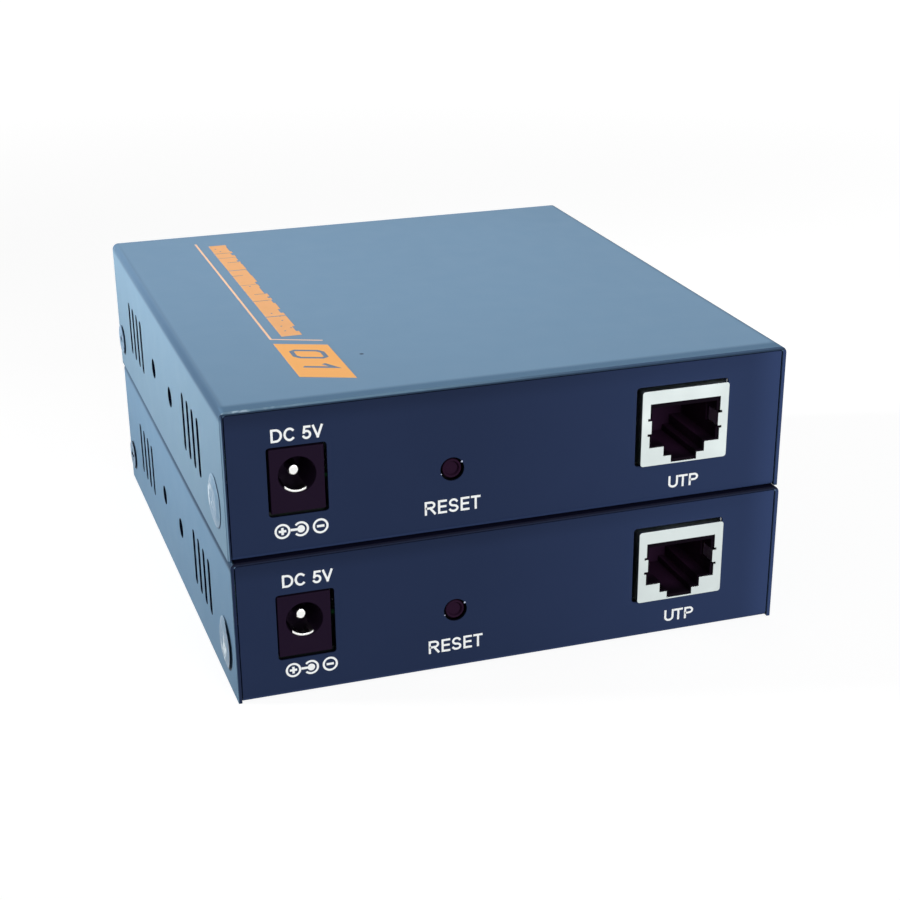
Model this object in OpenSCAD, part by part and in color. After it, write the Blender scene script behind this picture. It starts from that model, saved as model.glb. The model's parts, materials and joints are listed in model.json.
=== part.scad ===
// Video, keyboard and mouse extender: a pair of sheet steel units that stand one on the other.
// The receiver is below and the transmitter rests on it. Millimetres, +Z up.
// The origin is on the table, midway between the centres of the two stacked units.
// Each unit is drawn about its own centre, with its front panel towards -Y.

/* [Case] */
// Width of a unit over its side walls
case_w = 98; // [96:0.5:110]
// Depth of a unit from front to back
case_d = 107; // [100:0.5:120]
// Height of a unit
case_h = 25.5; // [24:0.5:32]
// Thickness of the steel sheet
sheet_t = 0.6; // [0.6:0.1:0.9]
// Outer radius of the cover's two long bends
cover_bend_r = 1.2; // [1.2:0.1:2.5]
// Outer radius of the tray's two bends
tray_bend_r = 1; // [1:0.1:2]
// Gap between the tray and the cover that slides over it
seam_gap = 0.2; // [0.2:0.05:0.4]
// Depth of the front and rear panels behind the cover's edges
panel_recess = 0.2; // [0.1:0.05:0.5]
// Sideways offset of the upper unit on the lower one
stack_shift_x = -0.15; // [-1:0.05:1]
// Backward offset of the upper unit on the lower one
stack_shift_y = 0.5; // [-1:0.05:1]

/* [Side walls] */
// Width of a vent slot
slot_w = 2; // [1:0.1:2]
// Height of a vent slot
slot_h = 10.6; // [8:0.2:12]
// Distance from one vent slot to the next
slot_pitch = 4.4; // [3:0.1:4.6]
// Number of slots in each of the two vents
slot_count = 4; // [2:1:5]
// Distance from the ends of the case to the middle of a vent, before the pattern's shift
vent_inset = 25.1; // [22:0.1:27]
// Distance of the wall's pattern behind the middle of the case
pattern_shift = 1.6; // [-2:0.1:4]
// Height of the slots' and the fixing holes' centres
pattern_z = 12.4; // [11:0.1:14]
// Diameter of the two fixing holes in the side wall
fixing_hole_d = 3.7; // [3:0.1:4.5]
// Distance between the two fixing holes
fixing_pitch = 16.8; // [14:0.1:20]

/* [Cover screws] */
// Thread diameter of the cover screws
cover_screw_d = 3; // [2.5:0.1:3]
// Length of the cover screws under the head
cover_screw_l = 4; // [3:0.1:4]
// Diameter of the cover screws' flat head
cover_head_d = 5.8; // [5:0.1:6.2]
// Height of the cover screws' flat head
cover_head_h = 0.4; // [0.4:0.05:0.9]
// Distance of the front screws from the front edge
front_screw_y = 8; // [7:0.1:10]
// Height of the front screws
front_screw_z = 7.7; // [6.5:0.1:9]
// Distance of the rear screws from the rear edge
rear_screw_y = 4.2; // [4.2:0.1:6]
// Height of the rear screws
rear_screw_z = 6.3; // [5:0.1:9]
// Diameter of the seal over the front left screw
seal_d = 9; // [7:0.1:10]
// Thickness of the seal
seal_t = 0.15; // [0.1:0.05:0.3]

/* [Front panel] */
// Distance of the power jack from the left edge
power_x = 12.05; // [11:0.05:16]
// Distance of the reset button from the left edge
reset_x = 37.95; // [30:0.05:46]
// Distance of the network jack from the right edge
network_x = 18.8; // [18:0.05:24]
// Diameter of the reset button's hole
reset_hole_d = 4.1; // [3.9:0.05:5]
// Diameter of the reset button
reset_button_d = 3.3; // [2.6:0.05:3.5]
// Travel of the reset button
reset_travel = 0.25; // [0.15:0.05:0.4]
// Height of the reset button over the board
reset_rise = 3.85; // [3.5:0.05:4.5]

/* [Power jack] */
// Width of the power jack's body
power_w = 9; // [8:0.1:10]
// Height of the power jack's body
power_h = 11; // [10.2:0.1:12]
// Depth of the power jack's body
power_d = 14.2; // [13:0.1:15]
// Diameter of the round socket
power_bore_d = 6.2; // [5.8:0.05:6.5]
// Depth of the round socket
power_bore_l = 9.5; // [9:0.1:10.5]
// Height of the socket's centre over the board
power_rise = 6.3; // [5.6:0.05:6.5]
// Diameter of the centre pin
power_pin_d = 2; // [1.6:0.05:2.5]
// Depth of the centre pin's tip behind the jack's face
power_pin_recess = 2.2; // [0.5:0.1:4]

/* [Network jack] */
// Width of the network jack's metal shield
network_w = 15.95; // [15.5:0.05:16.5]
// Height of the network jack's metal shield
network_h = 13.4; // [13:0.05:14]
// Depth of the network jack's metal shield
network_d = 21; // [19:0.1:22]
// How far the shield stands out of the case
network_proud = 0.7; // [0.2:0.1:1.5]
// Width of the plug's cavity
plug_w = 11.9; // [11.7:0.05:12.1]
// Depth of the plug's cavity
plug_l = 13.5; // [12.5:0.1:15]
// Distance from one contact to the next
contact_pitch = 1.02; // [0.95:0.01:1.1]
// Number of contacts
contact_count = 8; // [4:2:10]

/* [Circuit board] */
// Thickness of the circuit board
board_t = 1.6; // [1.2:0.1:2]
// Room between the network jack and the cover, which leaves the rest to the standoffs
jack_headroom = 4.35; // [3:0.05:6]
// Diameter of the standoffs
standoff_d = 5.5; // [5:0.1:6]
// Distance of the board's front holes from the front edge
board_hole_front_y = 26; // [25:0.5:30]
// Distance of the board's rear holes from the rear edge
board_hole_rear_y = 6; // [5.5:0.5:8]
// Width of the heat sink
sink_w = 22; // [18:0.5:26]
// Height of the heat sink
sink_h = 8; // [5:0.5:11]
// Number of fins on the heat sink
fin_count = 7; // [4:1:9]

/* [Rear panel] */
// Distance from the first status light to the second
light_pitch = 5.5; // [5.2:0.1:6]
// Diameter of the status lights
light_d = 3; // [2:0.1:3.2]
// Width of a video socket's shell
video_w = 15; // [14.5:0.1:15.5]
// Height of a video socket's shell
video_h = 5.6; // [5.3:0.1:6]
// Depth of a video socket's shell
video_d = 11.5; // [10:0.1:13]
// Width of a flat data socket's shell
flat_w = 13.1; // [12.8:0.1:13.5]
// Height of a flat data socket's shell
flat_h = 5.7; // [5.5:0.1:6]
// Width of the square data socket's shell
square_w = 12; // [11.8:0.1:12.4]
// Height of the square data socket's shell
square_h = 11; // [10.8:0.1:11.4]
// Depth of the data sockets' shells
data_d = 14.5; // [13:0.1:16]

/* [Hidden] */
NODE_KINDS = [
    "cover", "base_tray", "cover_screws", "screw_seal",
    "circuit_board", "board_standoffs", "board_screws",
    "network_jack_shield", "network_jack_insert", "network_jack_contacts",
    "power_jack_body", "power_jack_pin", "power_jack_spring",
    "reset_switch_body", "reset_button",
    "main_chip", "heat_sink", "network_transformer", "filter_capacitors", "power_inductors",
    "crystals", "support_chips", "status_lights", "light_holders",
    "video_socket_shells", "video_socket_inserts", "video_socket_contacts",
    "data_socket_shells", "data_socket_inserts", "data_socket_contacts"
];

// Levels of the stack
RECEIVER = 0;
TRANSMITTER = 1;

$fn = 48;
// How far a cut runs past the face it opens
overrun = 1;
// Clearance all round between a piece and the piece that holds it
fit_gap = 0.05;
// Clearance all round between a screw and the hole that it passes through
screw_play = 0.2;

// Colours of the materials
cover_colour = "#7696b2";
tray_colour = "#283250";
steel_colour = "#c9cdd0";
black_colour = "#221a20";
board_colour = "#1f5a3a";
gold_colour = "#d8b256";
seal_colour = "#a9c4d6";

// Case
tray_w = case_w - 2 * (sheet_t + seam_gap);
tray_d = case_d - 2 * panel_recess;
tray_h = case_h - sheet_t - seam_gap;
// Rounding of a rectangular cut-out's corners
cut_corner_r = 0.6;

// Lugs that take the cover screws
lug_w = 6;
// Height of a lug over its screw
lug_rise = 3.5;
collar_d = 5;
collar_l = 0.9;
// Middle of the wall's pattern, and distance from there to the middle of a vent
pattern_y = pattern_shift;
vent_offset = case_d / 2 - vent_inset;
// Places of the screws in the side wall, as distance from the middle and height
screw_places = [
    [front_screw_y - case_d / 2, front_screw_z],
    [case_d / 2 - rear_screw_y, rear_screw_z]
];

// Cross recess of the cover screws, then of the board screws
cover_cross = [2.8, 0.7, 0.35];
board_cross = [3, 0.8, 1.1];

// Circuit board, with the height of the standoffs under it
standoff_h = case_h - 2 * sheet_t - jack_headroom - network_h - board_t;
board_z = sheet_t + standoff_h;
board_top = board_z + board_t;
// Gap between the board's edge and the end of a cover screw
screw_end_gap = 0.5;
board_side_room = cover_screw_l + screw_end_gap;
board_end_gap = 0.8;
board_w = case_w - 2 * board_side_room;
board_d = tray_d - 2 * (sheet_t + board_end_gap);
board_corner_r = 1.5;
// Distance of the board's holes from its side edges
board_hole_inset = 3.6;
board_screw_d = 3;
// Distance of a board screw's end over the tray
board_screw_gap = 1.35;
board_screw_l = board_t + standoff_h - board_screw_gap;
board_head_d = 5.2;
board_head_h = 1.8;
board_hole_places = [
    for (side = [-1, 1], y = [board_hole_front_y - case_d / 2, case_d / 2 - board_hole_rear_y])
        [side * (board_w / 2 - board_hole_inset), y]
];

// Power jack
// Gap between the jack and its cut-out
power_gap = 0.45;
// Depth of the jack's face behind the panel's outer face
power_sunk = 0.2;
power_y = panel_recess + power_sunk - case_d / 2;
power_z = board_top + power_rise;
// Sideways offset of the jack in its cut-out, in the receiver and in the transmitter
power_shifts = [-0.2, 0];
// Spring contact in the bottom of the socket
spring_t = 0.35;
spring_w = 3.6;
spring_front = 0.3;
// Angle by which the spring is turned round the socket from its bottom
spring_turn = -8;

// Reset switch
switch_w = 6.2;
switch_d = 3.6;
switch_h = 7;
// Distance from the case's front edge to the switch's body and to the button's face
switch_y = 3;
button_y = 0.5;
// Depth of the button in the switch, and the room that is left behind it when it is pressed
button_hold = 1.7;
button_spare = 0.25;

// Network jack
shield_t = 0.3;
shield_corner_r = 0.5;
network_y = -case_d / 2 - network_proud;
// Gaps between the shield and its cut-out
network_left_gap = 0.7;
network_right_gap = 0.25;
network_top_gap = 0.5;
network_bottom_gap = 0.2;
// Opening in the shield's face, with heights over the board
mouth_cheek = 1.5;
mouth_w = network_w - 2 * mouth_cheek;
// Metal over the opening
mouth_brow = 2.3;
mouth_z = 3.25;
step_w = 7.6;
step_z = 1.5;
latch_w = 4.75;
latch_z = 0.25;
// Cavity in the insert, which shows a little inside the shield's opening
cavity_brow = 0.9;
cavity_sill = 0.2;
// Sprung earthing tabs folded in from the opening's sides, with their relief notches
tab_z = 6.95;
tab_h = 2.3;
tab_l = 3.6;
tab_room = 0.3;
notch_w = 0.4;
notch_h = 0.45;
// Contacts that slope back from the cavity's roof
contact_w = 0.46;
contact_t = 0.4;
contact_y = 2;
contact_l = 7.5;
contact_drop = 2.2;

// Chips and parts on the board, each with its width, depth and height
main_chip_size = [17, 17, 1.4];
transformer_size = [15.6, 12.7, 6.2];
// Gap between a board screw's head and the transformer or capacitors next to it
screw_gap = 1.5;
sink_base_h = 2;
fin_t = 1;
main_chip_place_share = [0.02, 0.02];

capacitor_d = 6.3;
capacitor_h = 7.7;
capacitor_foot_h = 0.8;
capacitor_foot_w = 6.6;
capacitor_pitch = 8.2;
capacitor_count = 3;
// Gap between the power jack and the row of capacitors behind it
capacitor_gap = 1.5;

// Place of the first capacitor, clear of the board's front screw
capacitor_x = board_hole_inset - board_w / 2 + (board_head_d + capacitor_foot_w) / 2 + screw_gap;

inductor_w = 7.3;
inductor_h = 4.2;
inductor_corner_r = 1.2;
inductor_place_shares = [[-0.30, -0.1], [-0.30, 0.02]];

crystal_w = 4.6;
crystal_l = 11.2;
crystal_h = 3.5;
// Gap between a crystal and the heat sink next to it
crystal_gap = 2;

// Each support chip's size, and its place as a share of the board
support_sizes = [
    [12, 12, 1.2], [8, 11, 1.1], [8, 11, 1.1], [7, 7, 0.9], [5.2, 5.2, 1.7], [6.5, 6.5, 2.3]
];
support_place_shares = [
    [-0.15, 0.26], [0.22, 0.06], [0.34, 0.06], [0.16, 0.28], [0.02, -0.2], [-0.18, -0.2]
];

// Sockets in the rear panel
port_t = 0.3;
port_gap = 0.35;
// How far the sockets stand out of the panel
port_proud = 0.5;
port_y = case_d / 2 - panel_recess + port_proud;
port_corner_r = 0.4;
// Depth of a tongue's tip behind the mouth, and of the block that holds the tongue
tongue_recess = 1.2;
port_block_l = 4;

video_cut_x = 1.8;
video_cut_z = 2;
// Room beside the video socket's tongue
video_side_room = 1.8;
video_tongue_w = video_w - 2 * video_side_room;
video_tongue_h = 1.7;
video_contact_counts = [9, 10];
// Distance of the outermost contact from the tongue's edge
video_contact_edge = 1.2;
video_contact_pitch = (video_tongue_w - 2 * video_contact_edge) / (video_contact_counts[1] - 1);
video_contact_w = 0.4;

// Room beside the flat socket's tongue, and depth of the tongue's underside below the shell's top
flat_side_room = 1;
flat_tongue_drop = 2.8;
flat_tongue_w = flat_w - 2 * flat_side_room;
flat_tongue_h = 1.85;
flat_tongue_z = flat_h - flat_tongue_drop;

// Walls round the square socket's mouth, and the room round its tongue, sideways and upwards
square_wall_x = 1.8;
square_wall_z = 1.6;
square_room_x = 1.4;
square_room_z = 2.3;
square_cut = 1.6;
square_mouth_w = square_w - 2 * square_wall_x;
square_mouth_h = square_h - 2 * square_wall_z;
square_tongue_w = square_mouth_w - 2 * square_room_x;
square_tongue_h = square_mouth_h - 2 * square_room_z;

strip_t = 0.1;
strip_l = 6;
data_contact_pitch = 2.3;
data_contact_count = 4;
data_contact_w = 1;
square_contact_pitch = 2.5;

// Status lights
light_rise = 5;
light_proud = 0.5;
light_l = 7;
light_gap = 0.2;
// Gap between the two lights' holders
holder_pair_gap = 0.9;
holder_w = light_pitch - holder_pair_gap;
holder_d = 4.5;
holder_h = 7.5;
// Distance from the rear panel's inner face to the holders
holder_gap = 1.2;

// The row of three sockets and the lights lies between the board's rear screws. What the row leaves
// free is shared out: these shares of it lie before each socket and before the lights.
row_side_room = board_side_room + board_hole_inset + board_head_d / 2;
row_widths = [video_w, max(video_w, flat_w), max(flat_w, square_w), light_pitch + holder_w];
row_gap_shares = [0.08, 0.3, 0.3, 0.26];
row_free_w = case_w - 2 * row_side_room - total(row_widths, 3);
first_port_x = row_x(0) + row_widths[0] / 2;
second_port_x = row_x(1) + row_widths[1] / 2;
third_port_x = row_x(2) + row_widths[2] / 2;
light_x = row_x(3) + holder_w / 2;

// Sockets of the receiver, then of the transmitter
video_port_xs = [[first_port_x], [first_port_x, second_port_x]];
flat_port_xs = [second_port_x, third_port_x];
square_port_xs = [third_port_x];

// Sum of a list's values up to the given place
function total(values, last) = last < 0 ? 0 : values[last] + total(values, last - 1);
// Left end of one place in the rear row
function row_x(i) =
    from_left(row_side_room) + total(row_gap_shares, i) * row_free_w + total(row_widths, i - 1);

function from_left(x) = x - case_w / 2;
function from_right(x) = case_w / 2 - x;

// Places the receiver or the transmitter in the stack
module unit(level)
    translate([(level - 0.5) * stack_shift_x, (level - 0.5) * stack_shift_y, level * case_h])
        children();

// Outline that stands on zero with its upper corners rounded
module arch_outline(w, h, r) {
    translate([-w / 2, 0])
        square([w, h - r]);
    translate([r - w / 2, 0])
        square([w - 2 * r, h]);
    for (side = [-1, 1])
        translate([side * (w / 2 - r), h - r])
            circle(r);
}

// The same outline with its lower corners rounded
module tub_outline(w, h, r)
    translate([0, h])
        mirror([0, 1])
            arch_outline(w, h, r);

// Outline about zero with four round corners
module round_outline(w, h, r) {
    square([w - 2 * r, h], center = true);
    square([w, h - 2 * r], center = true);
    for (x = [-1, 1], y = [-1, 1])
        translate([x * (w / 2 - r), y * (h / 2 - r)])
            circle(r);
}

// Upright outline with fully round ends
module slot_outline(w, h) {
    square([w, h - w], center = true);
    for (end = [-1, 1])
        translate([0, end * (h - w) / 2])
            circle(d = w);
}

// Outline that stands on zero with its lower corners cut at a slant
module keyed_outline(w, h, cut_x, cut_z)
    polygon([
        [-w / 2, h], [-w / 2, cut_z], [cut_x - w / 2, 0],
        [w / 2 - cut_x, 0], [w / 2, cut_z], [w / 2, h]
    ]);

// Outline that stands on zero, plain
module plain_outline(w, h)
    translate([-w / 2, 0])
        square([w, h]);

// Extrudes an outline in x and z over a length of y
module along_y(y, length)
    translate([0, y + length, 0])
        rotate([90, 0, 0])
            linear_extrude(length)
                children();

// Extrudes an outline in y and z over a length of x
module along_x(x, length)
    translate([x, 0, 0])
        rotate([90, 0, 90])
            linear_extrude(length)
                children();

// Block that stands on the given point, centred on it
module block(size)
    translate([-size[0] / 2, -size[1] / 2, 0])
        cube(size);

// Screw with its head's underside at zero and its cross recess given as length, width and depth
module cross_screw(thread_d, length, head_d, head_h, cross) {
    difference() {
        union() {
            cylinder(d = head_d, h = head_h);
            translate([0, 0, -length])
                cylinder(d = thread_d, h = length + head_h / 2);
        }
        for (turn = [0, 90])
            rotate(turn)
                translate([0, 0, head_h - cross[2]])
                    block([cross[0], cross[1], cross[2] + overrun]);
    }
}

// Turns a piece drawn upwards so that it points out of the side wall at each cover screw
module at_cover_screws(x)
    for (side = [-1, 1], place = screw_places)
        translate([side * x, place[0], place[1]])
            rotate([0, side * 90, 0])
                children();

module at_board_holes(z)
    for (place = board_hole_places)
        translate([place[0], place[1], z])
            children();

// Places pieces at shares of the board's width and depth
module on_board(shares)
    translate([shares[0] * board_w, shares[1] * board_d, board_top])
        children();

// Vents, fixing holes and screw holes of a side wall
module wall_pattern() {
    translate([pattern_y, pattern_z]) {
        for (vent = [-1, 1], i = [0 : slot_count - 1])
            translate([vent * vent_offset + (i - (slot_count - 1) / 2) * slot_pitch, 0])
                slot_outline(slot_w, slot_h);
        for (side = [-1, 1])
            translate([side * fixing_pitch / 2, 0])
                circle(d = fixing_hole_d);
    }
    for (place = screw_places)
        translate(place)
            circle(d = cover_screw_d + 2 * screw_play);
}

// The cover's side walls stand on the table beside the tray
module cover_profile() {
    difference() {
        arch_outline(case_w, case_h, cover_bend_r);
        translate([0, -overrun])
            arch_outline(case_w - 2 * sheet_t, case_h - sheet_t + overrun, cover_bend_r - sheet_t);
    }
}

module cover() {
    color(cover_colour)
        difference() {
            along_y(-case_d / 2, case_d)
                cover_profile();
            along_x(-case_w / 2 - overrun, case_w + 2 * overrun)
                wall_pattern();
        }
}

module tray_profile() {
    difference() {
        tub_outline(tray_d, tray_h, tray_bend_r);
        translate([0, sheet_t])
            tub_outline(tray_d - 2 * sheet_t, tray_h, tray_bend_r - sheet_t);
    }
}

// Cut-outs of the front panel, in x and z
module front_openings() {
    translate([from_left(power_x), board_top + power_h / 2])
        round_outline(power_w + 2 * power_gap, power_h + 2 * power_gap, cut_corner_r);
    translate([from_left(reset_x), board_top + reset_rise])
        circle(d = reset_hole_d);
    translate([
        from_right(network_x) + (network_right_gap - network_left_gap) / 2,
        board_top + (network_h + network_top_gap - network_bottom_gap) / 2
    ])
        round_outline(
            network_w + network_left_gap + network_right_gap,
            network_h + network_top_gap + network_bottom_gap,
            cut_corner_r
        );
}

// Cut-out round one socket of the rear panel
module port_opening(x, w, h)
    translate([x, board_top + h / 2])
        round_outline(w + 2 * port_gap, h + 2 * port_gap, cut_corner_r);

module rear_openings(level) {
    for (x = video_port_xs[level])
        port_opening(x, video_w, video_h);
    if (level == RECEIVER)
        for (x = flat_port_xs)
            port_opening(x, flat_w, flat_h);
    if (level == TRANSMITTER)
        for (x = square_port_xs)
            port_opening(x, square_w, square_h);
    for (i = [0, 1])
        translate([light_x + i * light_pitch, board_top + light_rise])
            circle(d = light_d + 2 * light_gap);
}

// One upright lug inside the cover's side wall
module lug(side, place)
    translate([side * (tray_w - sheet_t) / 2, place[0], sheet_t / 2])
        block([sheet_t, lug_w, place[1] + lug_rise - sheet_t / 2]);

module base_tray(level) {
    color(tray_colour)
        difference() {
            union() {
                along_x(-tray_w / 2, tray_w)
                    tray_profile();
                for (side = [-1, 1], place = screw_places)
                    lug(side, place);
                at_cover_screws(tray_w / 2 - sheet_t - collar_l)
                    cylinder(d = collar_d, h = sheet_t + collar_l);
            }
            at_cover_screws(tray_w / 2 - sheet_t - collar_l - overrun)
                cylinder(d = cover_screw_d + 2 * fit_gap, h = sheet_t + collar_l + 2 * overrun);
            along_y(-tray_d / 2 - overrun, sheet_t + 2 * overrun)
                front_openings();
            along_y(tray_d / 2 - sheet_t - overrun, sheet_t + 2 * overrun)
                rear_openings(level);
        }
}

module cover_screws() {
    color(steel_colour)
        at_cover_screws(case_w / 2)
            cross_screw(cover_screw_d, cover_screw_l, cover_head_d, cover_head_h, cover_cross);
}

// The seal lies on the head of the front left screw
module screw_seal() {
    color(seal_colour)
        translate([-case_w / 2 - cover_head_h, screw_places[0][0], screw_places[0][1]])
            rotate([0, -90, 0])
                cylinder(d = seal_d, h = seal_t);
}

module circuit_board() {
    color(board_colour)
        difference() {
            translate([0, 0, board_z])
                linear_extrude(board_t)
                    round_outline(board_w, board_d, board_corner_r);
            at_board_holes(board_z - overrun)
                cylinder(d = board_screw_d + 2 * screw_play, h = board_t + 2 * overrun);
        }
}

module board_standoffs() {
    color(steel_colour)
        at_board_holes(sheet_t)
            difference() {
                cylinder(d = standoff_d, h = standoff_h);
                translate([0, 0, standoff_h + board_t - board_screw_l - fit_gap])
                    cylinder(d = board_screw_d + 2 * fit_gap, h = board_screw_l);
            }
}

module board_screws() {
    color(steel_colour)
        at_board_holes(board_top)
            cross_screw(board_screw_d, board_screw_l, board_head_d, board_head_h, board_cross);
}

// Moves to the middle of the network jack's face, at the board's height
module at_network_jack()
    translate([from_right(network_x), network_y, board_top])
        children();

// Stepped opening for the plug and its latch: rows of width and lower edge, under one top
module plug_outline(rows, top)
    for (row = rows)
        translate([-row[0] / 2, row[1]])
            square([row[0], top - row[1]]);

module network_jack_shield() {
    color(steel_colour)
        at_network_jack() {
            difference() {
                along_y(0, network_d)
                    translate([0, network_h / 2])
                        round_outline(network_w, network_h, shield_corner_r);
                along_y(shield_t, network_d - 2 * shield_t)
                    translate([0, -shield_t])
                        plain_outline(network_w - 2 * shield_t, network_h);
                along_y(-overrun, shield_t + 2 * overrun)
                    shield_mouth();
            }
            for (side = [-1, 1])
                mirror([side > 0 ? 1 : 0, 0, 0])
                    earth_tab();
        }
}

// Opening in the shield's face with the notches above and below each earthing tab
module shield_mouth() {
    plug_outline([[mouth_w, mouth_z], [step_w, step_z], [latch_w, latch_z]], network_h - mouth_brow);
    for (side = [-1, 1])
        translate([0, tab_z + side * (tab_h + notch_h) / 2 - notch_h / 2])
            plain_outline(mouth_w + 2 * notch_w, notch_h);
}

// Earthing tab on the left of the opening, folded back into the jack
module earth_tab() {
    translate([-mouth_w / 2 - notch_w, 0, tab_z - tab_h / 2])
        cube([notch_w + shield_t, shield_t, tab_h]);
    translate([-mouth_w / 2, 0, tab_z - tab_h / 2])
        cube([shield_t, tab_l, tab_h]);
}

module network_jack_insert() {
    inner_w = network_w - 2 * (shield_t + fit_gap);
    inner_h = network_h - shield_t - fit_gap;
    front = shield_t + fit_gap;
    pocket_w = mouth_w + 2 * tab_room;
    color(black_colour)
        at_network_jack()
            difference() {
                along_y(front, network_d - 2 * front)
                    plain_outline(inner_w, inner_h);
                along_y(front - overrun, plug_l + overrun)
                    plug_cavity();
                along_y(front - overrun, tab_l + tab_room + overrun)
                    translate([0, tab_z - tab_h / 2 - tab_room])
                        plain_outline(pocket_w, tab_h + 2 * tab_room);
            }
}

function cavity_top() = network_h - mouth_brow - cavity_brow;

module plug_cavity()
    plug_outline(
        [
            [plug_w, mouth_z + cavity_sill],
            [step_w - 2 * cavity_sill, step_z + cavity_sill],
            [latch_w - cavity_sill, latch_z + 2 * cavity_sill]
        ],
        cavity_top()
    );

module network_jack_contacts() {
    start = shield_t + fit_gap + contact_y;
    color(gold_colour)
        at_network_jack()
            for (i = [0 : contact_count - 1])
                along_x((i - (contact_count - 1) / 2) * contact_pitch - contact_w / 2, contact_w)
                    polygon([
                        [start, cavity_top()],
                        [start + contact_t, cavity_top()],
                        [start + contact_l, cavity_top() - contact_drop + contact_t],
                        [start + contact_l, cavity_top() - contact_drop]
                    ]);
}

// Moves to the middle of the power socket's mouth
module at_power_jack(level)
    translate([from_left(power_x) + power_shifts[level], power_y, power_z])
        children();

module power_jack_body(level) {
    color(black_colour)
        at_power_jack(level)
            difference() {
                translate([-power_w / 2, 0, -power_rise])
                    cube([power_w, power_d, power_h]);
                along_y(-overrun, power_bore_l + overrun)
                    circle(d = power_bore_d);
            }
}

module power_jack_pin(level) {
    tip = power_pin_recess + power_pin_d / 2;
    color(steel_colour)
        at_power_jack(level) {
            along_y(tip, power_bore_l - tip)
                circle(d = power_pin_d);
            translate([0, tip, 0])
                sphere(d = power_pin_d);
        }
}

// Strip of spring steel in the bottom of the socket
module power_jack_spring(level) {
    color(steel_colour)
        at_power_jack(level)
            along_y(spring_front, power_bore_l - spring_front)
                intersection() {
                    difference() {
                        circle(d = power_bore_d - 2 * fit_gap);
                        circle(d = power_bore_d - 2 * (fit_gap + spring_t));
                    }
                    rotate(spring_turn)
                        translate([0, -power_bore_d])
                            plain_outline(spring_w, power_bore_d);
                }
}

// Moves to the reset button's axis at the case's front edge
module at_reset_button()
    translate([from_left(reset_x), -case_d / 2, board_top + reset_rise])
        children();

module reset_switch_body() {
    color(black_colour)
        at_reset_button()
            difference() {
                translate([-switch_w / 2, switch_y, -reset_rise])
                    cube([switch_w, switch_d, switch_h]);
                along_y(switch_y - overrun, button_hold + reset_travel + button_spare + overrun)
                    circle(d = reset_button_d + 2 * fit_gap);
            }
}

module reset_button() {
    color(black_colour)
        at_reset_button()
            along_y(button_y, switch_y + button_hold - button_y)
                circle(d = reset_button_d);
}

module main_chip() {
    color(black_colour)
        on_board(main_chip_place_share)
            block(main_chip_size);
}

module heat_sink() {
    color(steel_colour)
        on_board(main_chip_place_share)
            translate([0, 0, main_chip_size[2]]) {
                block([sink_w, sink_w, sink_base_h]);
                for (i = [0 : fin_count - 1])
                    translate([(sink_w - fin_t) * (i / (fin_count - 1) - 0.5), 0, 0])
                        block([fin_t, sink_w, sink_h]);
            }
}

// The transformer is in line with the network jack, behind the board's front screws
module network_transformer() {
    front = board_hole_front_y + board_head_d / 2 + screw_gap - case_d / 2;
    color(black_colour)
        translate([from_right(network_x), front + transformer_size[1] / 2, board_top])
            block(transformer_size);
}

// Row of round capacitors on square feet behind the power jack
module filter_capacitors() {
    color(steel_colour)
        for (i = [0 : capacitor_count - 1])
            translate([
                capacitor_x + i * capacitor_pitch,
                power_y + power_d + capacitor_gap + capacitor_foot_w / 2,
                board_top
            ]) {
                block([capacitor_foot_w, capacitor_foot_w, capacitor_foot_h]);
                cylinder(d = capacitor_d, h = capacitor_h);
            }
}

module power_inductors() {
    color(black_colour)
        for (share = inductor_place_shares)
            on_board(share)
                linear_extrude(inductor_h)
                    round_outline(inductor_w, inductor_w, inductor_corner_r);
}

// One crystal lies in front of the heat sink, and one behind it
module crystals() {
    reach = sink_w / 2 + crystal_gap + crystal_l / 2;
    color(steel_colour)
        on_board(main_chip_place_share)
            for (place = [[(sink_w - crystal_w) / 2, -reach], [-crystal_w / 2, reach]])
                translate(place)
                    linear_extrude(crystal_h)
                        slot_outline(crystal_w, crystal_l);
}

module support_chips() {
    color(black_colour)
        for (i = [0 : len(support_sizes) - 1])
            on_board(support_place_shares[i])
                block(support_sizes[i]);
}

// Moves to the axis of each status light at the rear panel's outer face
module at_lights()
    for (i = [0, 1])
        translate([light_x + i * light_pitch, tray_d / 2, board_top + light_rise])
            children();

module status_lights() {
    tip = light_proud - light_d / 2;
    color("#b8e0a0")
        at_lights() {
            along_y(tip - light_l, light_l)
                circle(d = light_d);
            translate([0, tip, 0])
                sphere(d = light_d);
        }
}

module light_holders() {
    back = -sheet_t - holder_gap;
    color(black_colour)
        at_lights()
            difference() {
                translate([0, back - holder_d / 2, -light_rise])
                    block([holder_w, holder_d, holder_h]);
                along_y(back - holder_d - overrun, holder_d + 2 * overrun)
                    circle(d = light_d + 2 * fit_gap);
            }
}

// Moves to the foot of each rear socket's mouth, with the socket's inside towards -Y
module at_ports(xs)
    for (x = xs)
        translate([x, port_y, board_top])
            children();

module video_socket_shells(level) {
    color(steel_colour)
        at_ports(video_port_xs[level])
            along_y(-video_d, video_d)
                difference() {
                    keyed_outline(video_w, video_h, video_cut_x, video_cut_z);
                    translate([0, port_t])
                        video_bore(0);
                }
}

// Inside of a video socket's shell, drawn in by a gap
module video_bore(gap)
    translate([0, gap])
        keyed_outline(
            video_w - 2 * (port_t + gap),
            video_h - 2 * (port_t + gap),
            video_cut_x,
            video_cut_z
        );

module video_socket_inserts(level) {
    color(black_colour)
        at_ports(video_port_xs[level]) {
            along_y(-video_d, port_block_l)
                translate([0, port_t])
                    video_bore(fit_gap);
            along_y(-video_d, video_d - tongue_recess)
                translate([0, (video_h - video_tongue_h) / 2])
                    plain_outline(video_tongue_w, video_tongue_h);
        }
}

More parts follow.
